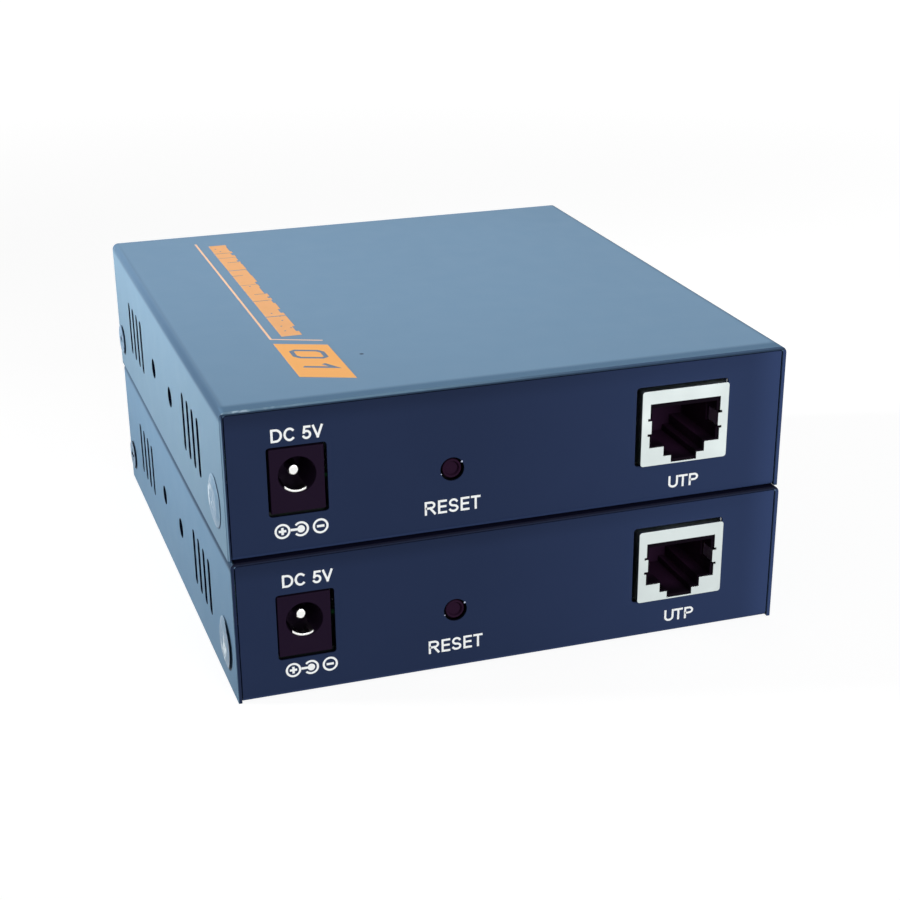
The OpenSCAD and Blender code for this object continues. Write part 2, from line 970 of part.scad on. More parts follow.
// Row of flat contact strips on a tongue, from the given height to the strip's thickness above it
module contact_row(count, pitch, w, z, start)
    for (i = [0 : count - 1])
        translate([(i - (count - 1) / 2) * pitch, start - strip_l / 2, z])
            block([w, strip_l, strip_t]);

module video_socket_contacts(level) {
    start = -tongue_recess - strip_t;
    low = (video_h - video_tongue_h) / 2 - strip_t;
    high = (video_h + video_tongue_h) / 2;
    color(gold_colour)
        at_ports(video_port_xs[level]) {
            contact_row(video_contact_counts[0], video_contact_pitch, video_contact_w, low, start);
            contact_row(video_contact_counts[1], video_contact_pitch, video_contact_w, high, start);
        }
}

// Shell of a data socket: a plain box of sheet, open at its mouth and its back
module data_shell(w, h)
    along_y(-data_d, data_d)
        translate([0, h / 2])
            difference() {
                round_outline(w, h, port_corner_r);
                square([w - 2 * port_t, h - 2 * port_t], center = true);
            }

module data_socket_shells(level) {
    color(steel_colour) {
        if (level == RECEIVER)
            at_ports(flat_port_xs)
                data_shell(flat_w, flat_h);
        if (level == TRANSMITTER)
            at_ports(square_port_xs)
                data_shell(square_w, square_h);
    }
}

module flat_insert() {
    inset = port_t + fit_gap;
    along_y(-data_d, port_block_l)
        translate([0, inset])
            plain_outline(flat_w - 2 * inset, flat_h - 2 * inset);
    along_y(-data_d, data_d - tongue_recess)
        translate([0, flat_tongue_z])
            plain_outline(flat_tongue_w, flat_tongue_h);
}

// Block that fills the square shell, with the plug's cavity round a thick tongue
module square_insert() {
    inset = port_t + fit_gap;
    difference() {
        along_y(-data_d, data_d - inset)
            translate([0, inset])
                plain_outline(square_w - 2 * inset, square_h - 2 * inset);
        along_y(port_block_l - data_d, data_d)
            difference() {
                translate([0, square_h / 2 + square_mouth_h / 2])
                    mirror([0, 1])
                        keyed_outline(square_mouth_w, square_mouth_h, square_cut, square_cut);
                translate([0, (square_h - square_tongue_h) / 2])
                    plain_outline(square_tongue_w, square_tongue_h);
            }
        along_y(-inset - tongue_recess, tongue_recess + inset + overrun)
            translate([0, (square_h - square_tongue_h) / 2])
                plain_outline(square_tongue_w, square_tongue_h);
    }
}

module data_socket_inserts(level) {
    color(black_colour) {
        if (level == RECEIVER)
            at_ports(flat_port_xs)
                flat_insert();
        if (level == TRANSMITTER)
            at_ports(square_port_xs)
                square_insert();
    }
}

module data_socket_contacts(level) {
    start = -tongue_recess - port_t - fit_gap - strip_t;
    half = data_contact_count / 2;
    low = (square_h - square_tongue_h) / 2 - strip_t;
    high = (square_h + square_tongue_h) / 2;
    color(gold_colour) {
        if (level == RECEIVER)
            at_ports(flat_port_xs)
                contact_row(
                    data_contact_count, data_contact_pitch, data_contact_w, flat_tongue_z - strip_t, start
                );
        if (level == TRANSMITTER)
            at_ports(square_port_xs) {
                contact_row(half, square_contact_pitch, data_contact_w, low, start);
                contact_row(half, square_contact_pitch, data_contact_w, high, start);
            }
    }
}

unit(RECEIVER) cover();  // receiver_cover
unit(RECEIVER) base_tray(RECEIVER);  // receiver_base_tray
unit(RECEIVER) cover_screws();  // receiver_cover_screws
unit(RECEIVER) screw_seal();  // receiver_screw_seal
unit(RECEIVER) circuit_board();  // receiver_circuit_board
unit(RECEIVER) board_standoffs();  // receiver_board_standoffs
unit(RECEIVER) board_screws();  // receiver_board_screws
unit(RECEIVER) network_jack_shield();  // receiver_network_jack_shield
unit(RECEIVER) network_jack_insert();  // receiver_network_jack_insert
unit(RECEIVER) network_jack_contacts();  // receiver_network_jack_contacts
unit(RECEIVER) power_jack_body(RECEIVER);  // receiver_power_jack_body
unit(RECEIVER) power_jack_pin(RECEIVER);  // receiver_power_jack_pin
unit(RECEIVER) power_jack_spring(RECEIVER);  // receiver_power_jack_spring
unit(RECEIVER) reset_switch_body();  // receiver_reset_switch_body
unit(RECEIVER) reset_button();  // receiver_reset_button
unit(RECEIVER) main_chip();  // receiver_main_chip
unit(RECEIVER) heat_sink();  // receiver_heat_sink
unit(RECEIVER) network_transformer();  // receiver_network_transformer
unit(RECEIVER) filter_capacitors();  // receiver_filter_capacitors
unit(RECEIVER) power_inductors();  // receiver_power_inductors
unit(RECEIVER) crystals();  // receiver_crystals
unit(RECEIVER) support_chips();  // receiver_support_chips
unit(RECEIVER) status_lights();  // receiver_status_lights
unit(RECEIVER) light_holders();  // receiver_light_holders
unit(RECEIVER) video_socket_shells(RECEIVER);  // receiver_video_socket_shells
unit(RECEIVER) video_socket_inserts(RECEIVER);  // receiver_video_socket_inserts
unit(RECEIVER) video_socket_contacts(RECEIVER);  // receiver_video_socket_contacts
unit(RECEIVER) data_socket_shells(RECEIVER);  // receiver_data_socket_shells
unit(RECEIVER) data_socket_inserts(RECEIVER);  // receiver_data_socket_inserts
unit(RECEIVER) data_socket_contacts(RECEIVER);  // receiver_data_socket_contacts

unit(TRANSMITTER) cover();  // transmitter_cover
unit(TRANSMITTER) base_tray(TRANSMITTER);  // transmitter_base_tray
unit(TRANSMITTER) cover_screws();  // transmitter_cover_screws
unit(TRANSMITTER) screw_seal();  // transmitter_screw_seal
unit(TRANSMITTER) circuit_board();  // transmitter_circuit_board
unit(TRANSMITTER) board_standoffs();  // transmitter_board_standoffs
unit(TRANSMITTER) board_screws();  // transmitter_board_screws
unit(TRANSMITTER) network_jack_shield();  // transmitter_network_jack_shield
unit(TRANSMITTER) network_jack_insert();  // transmitter_network_jack_insert
unit(TRANSMITTER) network_jack_contacts();  // transmitter_network_jack_contacts
unit(TRANSMITTER) power_jack_body(TRANSMITTER);  // transmitter_power_jack_body
unit(TRANSMITTER) power_jack_pin(TRANSMITTER);  // transmitter_power_jack_pin
unit(TRANSMITTER) power_jack_spring(TRANSMITTER);  // transmitter_power_jack_spring
unit(TRANSMITTER) reset_switch_body();  // transmitter_reset_switch_body
unit(TRANSMITTER) reset_button();  // transmitter_reset_button
unit(TRANSMITTER) main_chip();  // transmitter_main_chip
unit(TRANSMITTER) heat_sink();  // transmitter_heat_sink
unit(TRANSMITTER) network_transformer();  // transmitter_network_transformer
unit(TRANSMITTER) filter_capacitors();  // transmitter_filter_capacitors
unit(TRANSMITTER) power_inductors();  // transmitter_power_inductors
unit(TRANSMITTER) crystals();  // transmitter_crystals
unit(TRANSMITTER) support_chips();  // transmitter_support_chips
unit(TRANSMITTER) status_lights();  // transmitter_status_lights
unit(TRANSMITTER) light_holders();  // transmitter_light_holders
unit(TRANSMITTER) video_socket_shells(TRANSMITTER);  // transmitter_video_socket_shells
unit(TRANSMITTER) video_socket_inserts(TRANSMITTER);  // transmitter_video_socket_inserts
unit(TRANSMITTER) video_socket_contacts(TRANSMITTER);  // transmitter_video_socket_contacts
unit(TRANSMITTER) data_socket_shells(TRANSMITTER);  // transmitter_data_socket_shells
unit(TRANSMITTER) data_socket_inserts(TRANSMITTER);  // transmitter_data_socket_inserts
unit(TRANSMITTER) data_socket_contacts(TRANSMITTER);  // transmitter_data_socket_contacts
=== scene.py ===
"""Looks of a video, keyboard and mouse extender: two sheet steel units, one standing on the other.

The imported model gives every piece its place. This file gives the pieces their rounded edges,
prints and finishes, and sets up the camera, the floor and the lamps. Lengths are written in
millimetres and are turned into metres where a mesh is made.
"""

import json
import logging
import math
from collections.abc import Iterable, Sequence
from dataclasses import dataclass
from enum import Enum

import bmesh
import bpy
import numpy as np
from mathutils import Matrix


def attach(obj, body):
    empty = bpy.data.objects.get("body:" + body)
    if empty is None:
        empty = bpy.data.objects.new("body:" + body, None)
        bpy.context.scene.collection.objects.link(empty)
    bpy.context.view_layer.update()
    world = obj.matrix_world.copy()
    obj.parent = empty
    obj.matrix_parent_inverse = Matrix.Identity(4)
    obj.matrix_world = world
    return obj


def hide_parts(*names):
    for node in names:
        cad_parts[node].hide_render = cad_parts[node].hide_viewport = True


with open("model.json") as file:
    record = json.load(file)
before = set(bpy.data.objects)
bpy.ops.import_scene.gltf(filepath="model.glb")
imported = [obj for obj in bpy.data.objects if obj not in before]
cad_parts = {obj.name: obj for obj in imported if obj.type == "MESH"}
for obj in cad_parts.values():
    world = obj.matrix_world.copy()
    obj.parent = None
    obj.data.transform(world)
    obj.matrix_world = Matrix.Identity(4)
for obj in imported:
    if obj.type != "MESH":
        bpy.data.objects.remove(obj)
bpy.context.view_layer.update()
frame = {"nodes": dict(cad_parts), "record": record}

log = logging.getLogger("extender")

MM = 0.001
Colour = tuple[float, float, float]
Points = np.ndarray


def screen(red: int, green: int, blue: int) -> Colour:
    """Turns a colour as a screen shows it, 0 to 255, into the linear values that a shader takes.

    Args:
        red: Red channel.
        green: Green channel.
        blue: Blue channel.

    Returns:
        The three linear channels.
    """
    shares = (channel / 255 for channel in (red, green, blue))
    return tuple(s / 12.92 if s <= 0.04045 else ((s + 0.055) / 1.055) ** 2.4 for s in shares)


def shade(colour: Colour, factor: float) -> Colour:
    """Returns the colour with each channel times the factor."""
    return tuple(channel * factor for channel in colour)


class Level(Enum):
    """Place of a unit in the stack."""

    RECEIVER = 0
    TRANSMITTER = 1


class Plane(Enum):
    """Face of a unit that takes a print: where the print's across, up and outward run in space."""

    FRONT = ((1, 0, 0), (0, 0, 1), (0, -1, 0))
    TOP = ((1, 0, 0), (0, 1, 0), (0, 0, 1))


@dataclass(frozen=True)
class Case:
    """Outer sizes of a unit, and where the two units stand."""

    width: float = 98.0
    depth: float = 107.0
    height: float = 25.5
    sheet: float = 0.6
    recess: float = 0.2
    head: float = 0.4
    screw_radius: float = 2.9
    rear_screw: tuple[float, float] = (4.2, 6.3)
    seal_place: tuple[float, float] = (8.0, 7.7)
    seal_radius: float = 4.5
    bend: float = 1.2
    board_top: float = 7.15
    shift_x: float = -0.15
    shift_y: float = 0.5

    def origin(self, level: Level) -> tuple[float, float, float]:
        """Returns the middle of a unit's underside."""
        side = level.value - 0.5
        return side * self.shift_x, side * self.shift_y, level.value * self.height


CASE = Case()


class Value:
    """A number that varies over a surface. Python's operators on it add Math nodes."""

    def __init__(self, shader: "Shader", socket: bpy.types.NodeSocket) -> None:
        """Wraps a socket of the shader's node tree."""
        self.shader = shader
        self.socket = socket

    def _math(self, operation: str, *terms: "Value | float") -> "Value":
        """Adds a Math node that works on the given terms."""
        made = self.shader.node("ShaderNodeMath", {"operation": operation}, dict(enumerate(terms)))
        return Value(self.shader, made.outputs[0])

    def __add__(self, other: "Value | float") -> "Value":
        """Sum."""
        return self._math("ADD", self, other)

    __radd__ = __add__

    def __sub__(self, other: "Value | float") -> "Value":
        """Difference."""
        return self._math("SUBTRACT", self, other)

    def __rsub__(self, other: float) -> "Value":
        """Difference, from a number."""
        return self._math("SUBTRACT", other, self)

    def __mul__(self, other: "Value | float") -> "Value":
        """Product."""
        return self._math("MULTIPLY", self, other)

    __rmul__ = __mul__

    def __pow__(self, other: float) -> "Value":
        """Power."""
        return self._math("POWER", self, other)

    def __abs__(self) -> "Value":
        """Size without its sign."""
        return self._math("ABSOLUTE", self)

    def most(self, other: "Value | float") -> "Value":
        """The larger of the two."""
        return self._math("MAXIMUM", self, other)

    def rise(self, low: float, high: float) -> "Value":
        """Smooth step: 0 up to low, 1 from high on, and an S-curve between them."""
        made = self.shader.node(
            "ShaderNodeMapRange", {"interpolation_type": "SMOOTHSTEP"}, {0: self, 1: low, 2: high}
        )
        return Value(self.shader, made.outputs[0])


class Shader:
    """A node tree under construction, for a material or for the world."""

    def __init__(self, tree: bpy.types.NodeTree) -> None:
        """Empties the tree and keeps it."""
        self.tree = tree
        tree.nodes.clear()

    def node(
        self, kind: str, settings: dict[str, object] | None = None, feeds: dict | None = None
    ) -> bpy.types.Node:
        """Adds a node of any kind.

        Args:
            kind: Blender's name of the node's type.
            settings: Properties to set, with "stops" for a ramp's places and colours.
            feeds: Value or link for each input, by its number or name.

        Returns:
            The node.
        """
        made = self.tree.nodes.new(kind)
        for name, setting in (settings or {}).items():
            if name == "stops":
                ramp = made.color_ramp
                while len(ramp.elements) < len(setting):
                    ramp.elements.new(0.5)
                for element, (place, colour) in zip(ramp.elements, setting):
                    element.position = place
                    element.color = (*colour, 1)
            else:
                setattr(made, name, setting)
        for name, value in (feeds or {}).items():
            self.feed(made.inputs[name], value)
        return made

    def feed(self, socket: bpy.types.NodeSocket, value: object) -> None:
        """Links a value or socket to an input, or sets a plain number or colour on it."""
        if isinstance(value, Value):
            value = value.socket
        if isinstance(value, bpy.types.NodeSocket):
            self.tree.links.new(value, socket)
        elif isinstance(value, tuple) and len(value) == 3 and socket.type == "RGBA":
            socket.default_value = (*value, 1)
        else:
            socket.default_value = value

    def spot(self) -> bpy.types.NodeSocket:
        """Returns the point's place in space, in metres."""
        return self.node("ShaderNodeTexCoord").outputs["Object"]

    def place(self, origin: Sequence[float] = (0, 0, 0)) -> tuple[Value, Value, Value]:
        """Returns the point's x, y and z in millimetres from an origin."""
        split = self.node("ShaderNodeSeparateXYZ", None, {0: self.spot()})
        return tuple(
            Value(self, split.outputs[i]) * (1 / MM) - origin[i] for i in range(3)
        )

    def noise(self, size: float, detail: float = 3, stretch: Sequence[float] = (1, 1, 1)) -> Value:
        """Cloudy noise from about 0 to 1.

        Args:
            size: Rough width of a cloud, in millimetres.
            detail: Number of finer layers.
            stretch: How much longer a cloud is along each axis.

        Returns:
            The noise.
        """
        feeds = {"Vector": self.spot(), "Scale": tuple(1 / s for s in stretch)}
        mapped = self.node("ShaderNodeMapping", None, feeds)
        feeds = {"Vector": mapped.outputs[0], "Scale": 1 / (size * MM), "Detail": detail}
        return Value(self, self.node("ShaderNodeTexNoise", None, feeds).outputs[0])

    def blend(self, factor: Value | float, low: object, high: object) -> bpy.types.NodeSocket:
        """Mixes two colours."""
        made = self.node("ShaderNodeMix", {"data_type": "RGBA"}, {0: factor, 6: low, 7: high})
        return made.outputs[2]


@dataclass(frozen=True)
class Finish:
    """A surface finish: the colour with its drift, the gloss with its smears, and the grain.

    The drift is a share of the colour, the smear a share of the roughness, and sizes are in
    millimetres.
    """

    name: str
    colour: Colour
    roughness: float = 0.5
    metallic: float = 0.0
    specular: float = 0.5
    coat: float = 0.0
    drift: float = 0.06
    drift_size: float = 9.0
    smear: float = 0.15
    smear_size: float = 5.0
    grain_size: float = 0.5
    grain_depth: float = 0.01
    stretch: tuple[float, float, float] = (1, 1, 1)

    def clouds(self, shader: Shader, colour: Colour) -> bpy.types.NodeSocket:
        """Returns a colour that drifts between a darker and a lighter tone over the surface."""
        low, high = shade(colour, 1 - self.drift), shade(colour, 1 + self.drift)
        return shader.blend(shader.noise(self.drift_size, 4, self.stretch), low, high)

    def tint(self, shader: Shader) -> bpy.types.NodeSocket:
        """Returns the colour over the surface."""
        return self.clouds(shader, self.colour)

    def gloss(self, shader: Shader) -> Value:
        """Returns the roughness over the surface, with rubbed and smeared places."""
        smear = shader.noise(self.smear_size, 5, self.stretch) - 0.5
        return smear * (2 * self.smear * self.roughness) + self.roughness

    def relief(self, shader: Shader) -> Value:
        """Returns the height of the grain, from 0 to 1."""
        return shader.noise(self.grain_size, 2, self.stretch)

    def build(self) -> bpy.types.Material:
        """Makes the material, once for each name."""
        made = bpy.data.materials.get(self.name)
        if made:
            return made
        made = bpy.data.materials.new(self.name)
        made.use_nodes = True
        shader = Shader(made.node_tree)
        bump = shader.node(
            "ShaderNodeBump",
            None,
            {"Strength": 1.0, "Distance": self.grain_depth * MM, "Height": self.relief(shader)},
        )
        feeds = {
            "Base Color": self.tint(shader),
            "Roughness": self.gloss(shader),
            "Metallic": self.metallic,
            "Specular IOR Level": self.specular,
            "Coat Weight": self.coat,
            "Coat Roughness": 0.2,
            "Normal": bump.outputs[0],
        }
        surface = shader.node("ShaderNodeBsdfPrincipled", None, feeds)
        output = shader.node("ShaderNodeOutputMaterial")
        shader.feed(output.inputs["Surface"], surface.outputs[0])
        return made


class Coat:
    """A colour with layers painted over it in turn."""

    def __init__(self, shader: Shader, colour: object) -> None:
        """Starts from the lowest layer's colour."""
        self.shader = shader
        self.colour = colour

    def over(self, mask: Value | float, tone: object) -> None:
        """Paints a tone over what is there, as strongly as the mask says."""
        self.colour = self.shader.blend(mask, self.colour, tone)


def distance(across: Value, along: Value) -> Value:
    """Returns the distance from the point where both values are zero."""
    return (across ** 2 + along ** 2) ** 0.5


COVER_BLUE = screen(119, 151, 179)
PANEL_NAVY = screen(36, 48, 77)
SEAL_BLUE = screen(118, 150, 176)


@dataclass(frozen=True)
class CoverPaint(Finish):
    """Satin powder coat of a cover: painted light on the walls and the lip, painted shade along the bends,
    the front and in the cuts.

    The values are the upper unit's. A pair of widths is where a layer starts to fade and where it
    has gone, in millimetres.
    """

    roughness: float = 0.6
    specular: float = 0.07
    drift: float = 0.03
    drift_size: float = 30.0
    grain_size: float = 0.35
    grain_depth: float = 0.006
    origin: tuple[float, float, float] = CASE.origin(Level.TRANSMITTER)
    # Painted light: the walls take the coat's colour times wall, lighter and warmer on the upper unit,
    # darker on the lower
    wall: Colour = (1.04, 0.99, 0.92)
    # Painted shade along the bends and at the walls' front corners, in edge; bend_fade weakens it towards
    # the back
    edge: Colour = screen(70, 97, 123)
    bend_reach: tuple[float, float] = (0.2, 1.7)
    bend_fade: float = 0.3
    # Painted shade along the top's front edge, near black on the lower unit in the seam under the upper
    # one
    strip: Colour = screen(87, 119, 147)
    strip_width: tuple[float, float] = (1.9, 3.5)
    # The top's cut lip: a painted highlight, lighter at the left and darker to the right, with painted
    # shade at its foot; near black on the lower unit, which lies in shade
    lip: Colour = screen(102, 132, 155)
    lip_far: Colour = screen(64, 86, 113)
    lip_foot: Colour = screen(44, 62, 84)
    lip_depth: tuple[float, float] = (0.22, 0.42)
    # Painted highlight in spots near the lip's left corner
    lip_glint: float = 0.8
    corner_glint: Colour = screen(176, 200, 216)
    # The walls' cut tips: painted shade at their outer corner, then the panel's navy painted darker at the
    # left and lighter at the right
    tip_width: float = 0.26
    tip_left: Colour = shade(PANEL_NAVY, 0.75)
    tip_right: Colour = shade(PANEL_NAVY, 2.0)
    seam: Colour = screen(34, 62, 88)
    seam_shade: float = 0.85
    # Painted shade on the cut walls and the walls' inner faces
    cut: Colour = (0.002, 0.005, 0.02)
    seal_shade: float = 0.25
    seal_tone: Colour = screen(52, 80, 108)
    screw_shade: float = 0.5
    screw_tone: Colour = screen(16, 26, 48)
    shade_share: float = 0.92
    fleck: tuple[float, float, float] | None = (28.7 - CASE.width / 2, 20.4 - CASE.depth / 2, 0.5)
    fleck_tone: Colour = screen(40, 55, 75)
    fade: float = 0.1

    @staticmethod
    def crescent(along: Value, up: Value, radius: float, width: float) -> Value:
        """Returns 1 in the shade that a round piece on the wall has along its front side.

        Args:
            along: Distance from the piece's middle towards the back.
            up: Distance from its middle upwards.
            radius: The piece's radius.
            width: Width of the shade.

        Returns:
            The mask.
        """
        reach = distance(along, up)
        outside = reach.rise(radius + width * 0.5, radius + width)
        ring = reach.rise(radius - 0.08, radius) * (1 - outside)
        return ring * (1 - along.rise(-0.7 * radius, 0.35 * radius))

    def front_edges(self, coat: Coat, x: Value, inward: Value, below: Value, ahead: Value) -> None:
        """Paints the sheet's cut front edges in painted light and shade: the tips of the two walls and the
        lip of the top.

        Args:
            coat: The colour so far.
            x: Distance to the right of the unit's middle.
            inward: Distance inside the nearer wall's outer face.
            below: Distance below the top.
            ahead: Distance behind the cut front edge.
        """
        shader, sheet = coat.shader, CASE.sheet
        end, right = 1 - ahead.rise(0.04, 0.14), x.rise(-1, 1)
        # Painted shade on the outer corner of each tip, then navy painted darker at the left and lighter
        # at the right
        tips = end * (1 - inward.rise(sheet, sheet + self.fade))
        coat.over(tips * (1 - inward.rise(0.05, 0.16)) * 0.7, self.edge)
        inner = inward.rise(self.tip_width, self.tip_width + 0.14).most(right)
        coat.over(tips * inner, shader.blend(right, self.tip_left, self.tip_right))
        # The lip in painted light and shade: lighter at the left, darker to the right and at its foot
        across = x.rise(-CASE.width / 4, CASE.width / 4)
        lip = Coat(shader, shader.blend(across, self.lip, self.lip_far))
        # Painted highlight in spots near the lip's left corner
        corner = 1 - x.rise(-CASE.width / 2, -CASE.width / 3)
        lip.over(corner * shader.noise(1.6, 3).rise(0.4, 0.6) * self.lip_glint, self.corner_glint)
        lip.over(below.rise(*self.lip_depth), self.lip_foot)
        coat.over(end * (1 - below.rise(sheet, sheet + self.fade)), lip.colour)

    def tint(self, shader: Shader) -> bpy.types.NodeSocket:
        """Returns the drifting colour with painted light and shade on the walls, bends, front and cuts,
        the painted shade round the seal and screw, and the fleck.
        """
        x, y, z = shader.place(self.origin)
        inward, below = CASE.width / 2 - abs(x), CASE.height - z
        ahead, behind = y + CASE.depth / 2, CASE.depth / 2 - y
        # Painted light on the walls: the coat's colour times wall, while the top keeps the plain colour
        lit_wall = tuple(channel * share for channel, share in zip(self.colour, self.wall))
        coat = Coat(shader, self.clouds(shader, lit_wall))
        coat.over(inward.rise(0.05, 0.5), super().tint(shader))

        # Painted shade along the bends, weaker towards the back
        bend = 1 - below.rise(0.6 * CASE.bend, 1.6 * CASE.bend)
        near = 1 - ahead.rise(20.0, CASE.depth) * self.bend_fade
        coat.over((1 - inward.rise(*self.bend_reach)) * bend * near, self.edge)
        # Painted shade along the top's front edge
        coat.over((1 - ahead.rise(*self.strip_width)) * (1 - below.rise(0.1, 0.3)), self.strip)
        self.front_edges(coat, x, inward, below, ahead)
        coat.over((1 - z.rise(0.1, 0.45)) * self.seam_shade, self.seam)

        # Painted shade on the cut walls and the walls' inner faces
        walls = inward.rise(0.004, 0.025) * below.rise(2 * CASE.sheet, 3 * CASE.sheet)
        walls = walls * z.rise(0.1, 0.4) * ahead.rise(0.15, 0.4) * behind.rise(0.15, 0.4)
        coat.over(walls, self.cut)

        (seal_y, seal_z), (screw_y, screw_z) = CASE.seal_place, CASE.rear_screw
        front = self.crescent(ahead - seal_y, z - seal_z, CASE.seal_radius, self.seal_shade)
        rear = self.crescent(screw_y - behind, z - screw_z, CASE.screw_radius, self.screw_shade)
        coat.over(front * (1 - x.rise(-1, 1)) * self.shade_share, self.seal_tone)
        coat.over(rear * self.shade_share, self.screw_tone)
        if self.fleck:
            across, along, size = self.fleck
            reach = distance(x - across, y - along)
            coat.over((1 - reach.rise(size * 0.5, size)) * 0.85, self.fleck_tone)
        return coat.colour


@dataclass(frozen=True)
class PanelPaint(Finish):
    """Satin powder coat of a tray: painted shade at the top and in the cuts, painted light to the right
    and along the bottom bend.
    """

    roughness: float = 0.65
    specular: float = 0.05
    drift_size: float = 22.0
    grain_size: float = 0.35
    grain_depth: float = 0.006
    origin: tuple[float, float, float] = (0, 0, 0)
    cut: Colour = (0.002, 0.002, 0.006)

    def tint(self, shader: Shader) -> bpy.types.NodeSocket:
        """Returns the paint's colour with its painted light and shade, and painted shade on the walls of
        the cut-outs.
        """
        x, y, z = shader.place(self.origin)
        ahead, behind = y + CASE.depth / 2, CASE.depth / 2 - y
        half, depth = CASE.width / 2, CASE.recess + 0.1
        coat = Coat(shader, super().tint(shader))
        # Painted shade under the top rim, painted light to the right, at the right edge and along the
        # bottom bend: place and strength of each, and what the colour is multiplied by there
        for mask, factor in (
            (z.rise(CASE.height - 4.4, CASE.height - 0.9) * 0.4, 0.45),
            (x.rise(-14.0, half) * 0.6, 1.7),
            (x.rise(half - 7, half) * 0.8, 2.1),
            ((1 - z.rise(0.35, 0.9)) * 0.8, 2.4),
        ):
            coat.over(mask, shade(self.colour, factor))
        # Painted shade on the walls of the cut-outs
        walls = ahead.rise(depth, depth + 0.2) * behind.rise(depth, depth + 0.2) * z.rise(0.9, 1.5)
        coat.over(walls * (1 - abs(x).rise(half - 3.5, half - 3)), self.cut)
        return coat.colour


@dataclass(frozen=True)
class ScrewCoat(Finish):
    """Painted screw head: the wall's colour with bright and dark specks of wear, and painted shade in the
    cross and down the head's side.
    """

    depth: float = 0.06
    speck: Colour = screen(40, 58, 84)
    cross: Colour = screen(10, 18, 36)

    def tint(self, shader: Shader) -> bpy.types.NodeSocket:
        """Returns the head's colour by how far it lies inside the head's outer face."""
        x, _, _ = shader.place()
        inside = CASE.width / 2 + CASE.head - abs(x)
        face = (1 - inside.rise(0.1, 0.2)) * 0.5
        coat = Coat(shader, super().tint(shader))
        coat.over(shader.noise(0.9, 3).rise(0.5, 0.64) * face, shade(self.colour, 1.5))
        coat.over(shader.noise(1.3, 4).rise(0.52, 0.66) * face, self.speck)
        # Painted shade in the cross and down the head's side
        coat.over(inside.rise(self.depth, self.depth + 0.12), self.cross)
        return coat.colour


@dataclass(frozen=True)
class Metal(Finish):
    """Bare or plated metal."""

    metallic: float = 1.0


@dataclass(frozen=True)
class Moulding(Finish):
    """Dull moulded plastic with a fine grain."""

    specular: float = 0.02
    drift: float = 0.08
    grain_size: float = 0.15
    grain_depth: float = 0.004


@dataclass(frozen=True)
class DeepMoulding(Moulding):
    """Moulding with painted light that grows a little with depth, so that its shaded cavity shows evenly
    dark.
    """

    floor: Colour = screen(42, 23, 44)

    def tint(self, shader: Shader) -> bpy.types.NodeSocket:
        """Returns the colour, with painted light growing with the depth behind the front."""
        _, y, _ = shader.place()
        ahead = y + CASE.depth / 2
        # Painted light deeper in the cavity, against its shade
        return shader.blend(ahead.rise(0.3, 5.0), super().tint(shader), self.floor)


@dataclass(frozen=True)
class Ink(Finish):
    """Screen print."""

    specular: float = 0.1
    drift: float = 0.02
    grain_size: float = 0.2
    grain_depth: float = 0.003


@dataclass(frozen=True)
class BoardLacquer(Finish):
    """Solder mask over copper runs, which follow the contours of a noise. Its front lies in the dark."""

    copper: Colour = screen(58, 128, 78)
    front: Colour = screen(12, 9, 16)

    def tint(self, shader: Shader) -> bpy.types.NodeSocket:
        """Returns the mask's colour, lighter where copper runs beneath it, with painted shade over the
        front.
        """
        _, y, _ = shader.place()
        runs = abs(shader.noise(7, 1) - 0.5)
        ahead = y + CASE.depth / 2
        coat = Coat(shader, super().tint(shader))
        coat.over((1 - runs.rise(0.008, 0.02)) * 0.6, self.copper)
        # Painted shade over the board's front
        coat.over((1 - ahead.rise(3.0, 6.0)) * 0.95, self.front)
        return coat.colour


@dataclass(frozen=True)
class SealFoil(Finish):
    """Clear film that shows the coat through it, with white wrinkles down its middle and painted shade on
    its rim at the front.

    The values are the upper unit's.
    """

    roughness: float = 0.36
    specular: float = 0.15
    drift: float = 0.08
    drift_size: float = 1.5
    smear: float = 0.4
    smear_size: float = 1.0
    grain_size: float = 0.7
    grain_depth: float = 0.08
    origin: tuple[float, float, float] = CASE.origin(Level.TRANSMITTER)
    wrinkle: float = 0.85
    wrinkle_place: tuple[float, float] = (1.5, 0.4)
    white: Colour = screen(232, 246, 252)
    rim_shade: Colour = screen(62, 90, 116)

    def tint(self, shader: Shader) -> bpy.types.NodeSocket:
        """Returns the film's colour: the coat's, wrinkled to white where the film lies on the screw."""
        _, y, z = shader.place(self.origin)
        along, up = y + CASE.depth / 2 - CASE.seal_place[0], z - CASE.seal_place[1]
        reach = distance(along, up)
        back, top = self.wrinkle_place
        middle = 1 - distance(along - back, (up - top) * 0.8).rise(1.5, 2.9)
        crumple = shader.noise(1.0, 6, (1, 1, 2.2)).rise(0.5, 0.6)
        dents = shader.noise(0.8, 4, (1, 1, 1.8)).rise(0.58, 0.7)
        coat = Coat(shader, super().tint(shader))
        coat.over(crumple * middle * self.wrinkle, self.white)
        coat.over(dents * middle * 0.45, shade(self.colour, 0.4))
        coat.over(reach.rise(4.1, 4.25) * along.rise(-2.0, 0.5) * 0.5, shade(self.colour, 1.25))
        # Painted shade on the rim's front side
        coat.over(reach.rise(4.3, 4.42) * (1 - along.rise(-2.5, 1.5)) * 0.9, self.rim_shade)
        return coat.colour


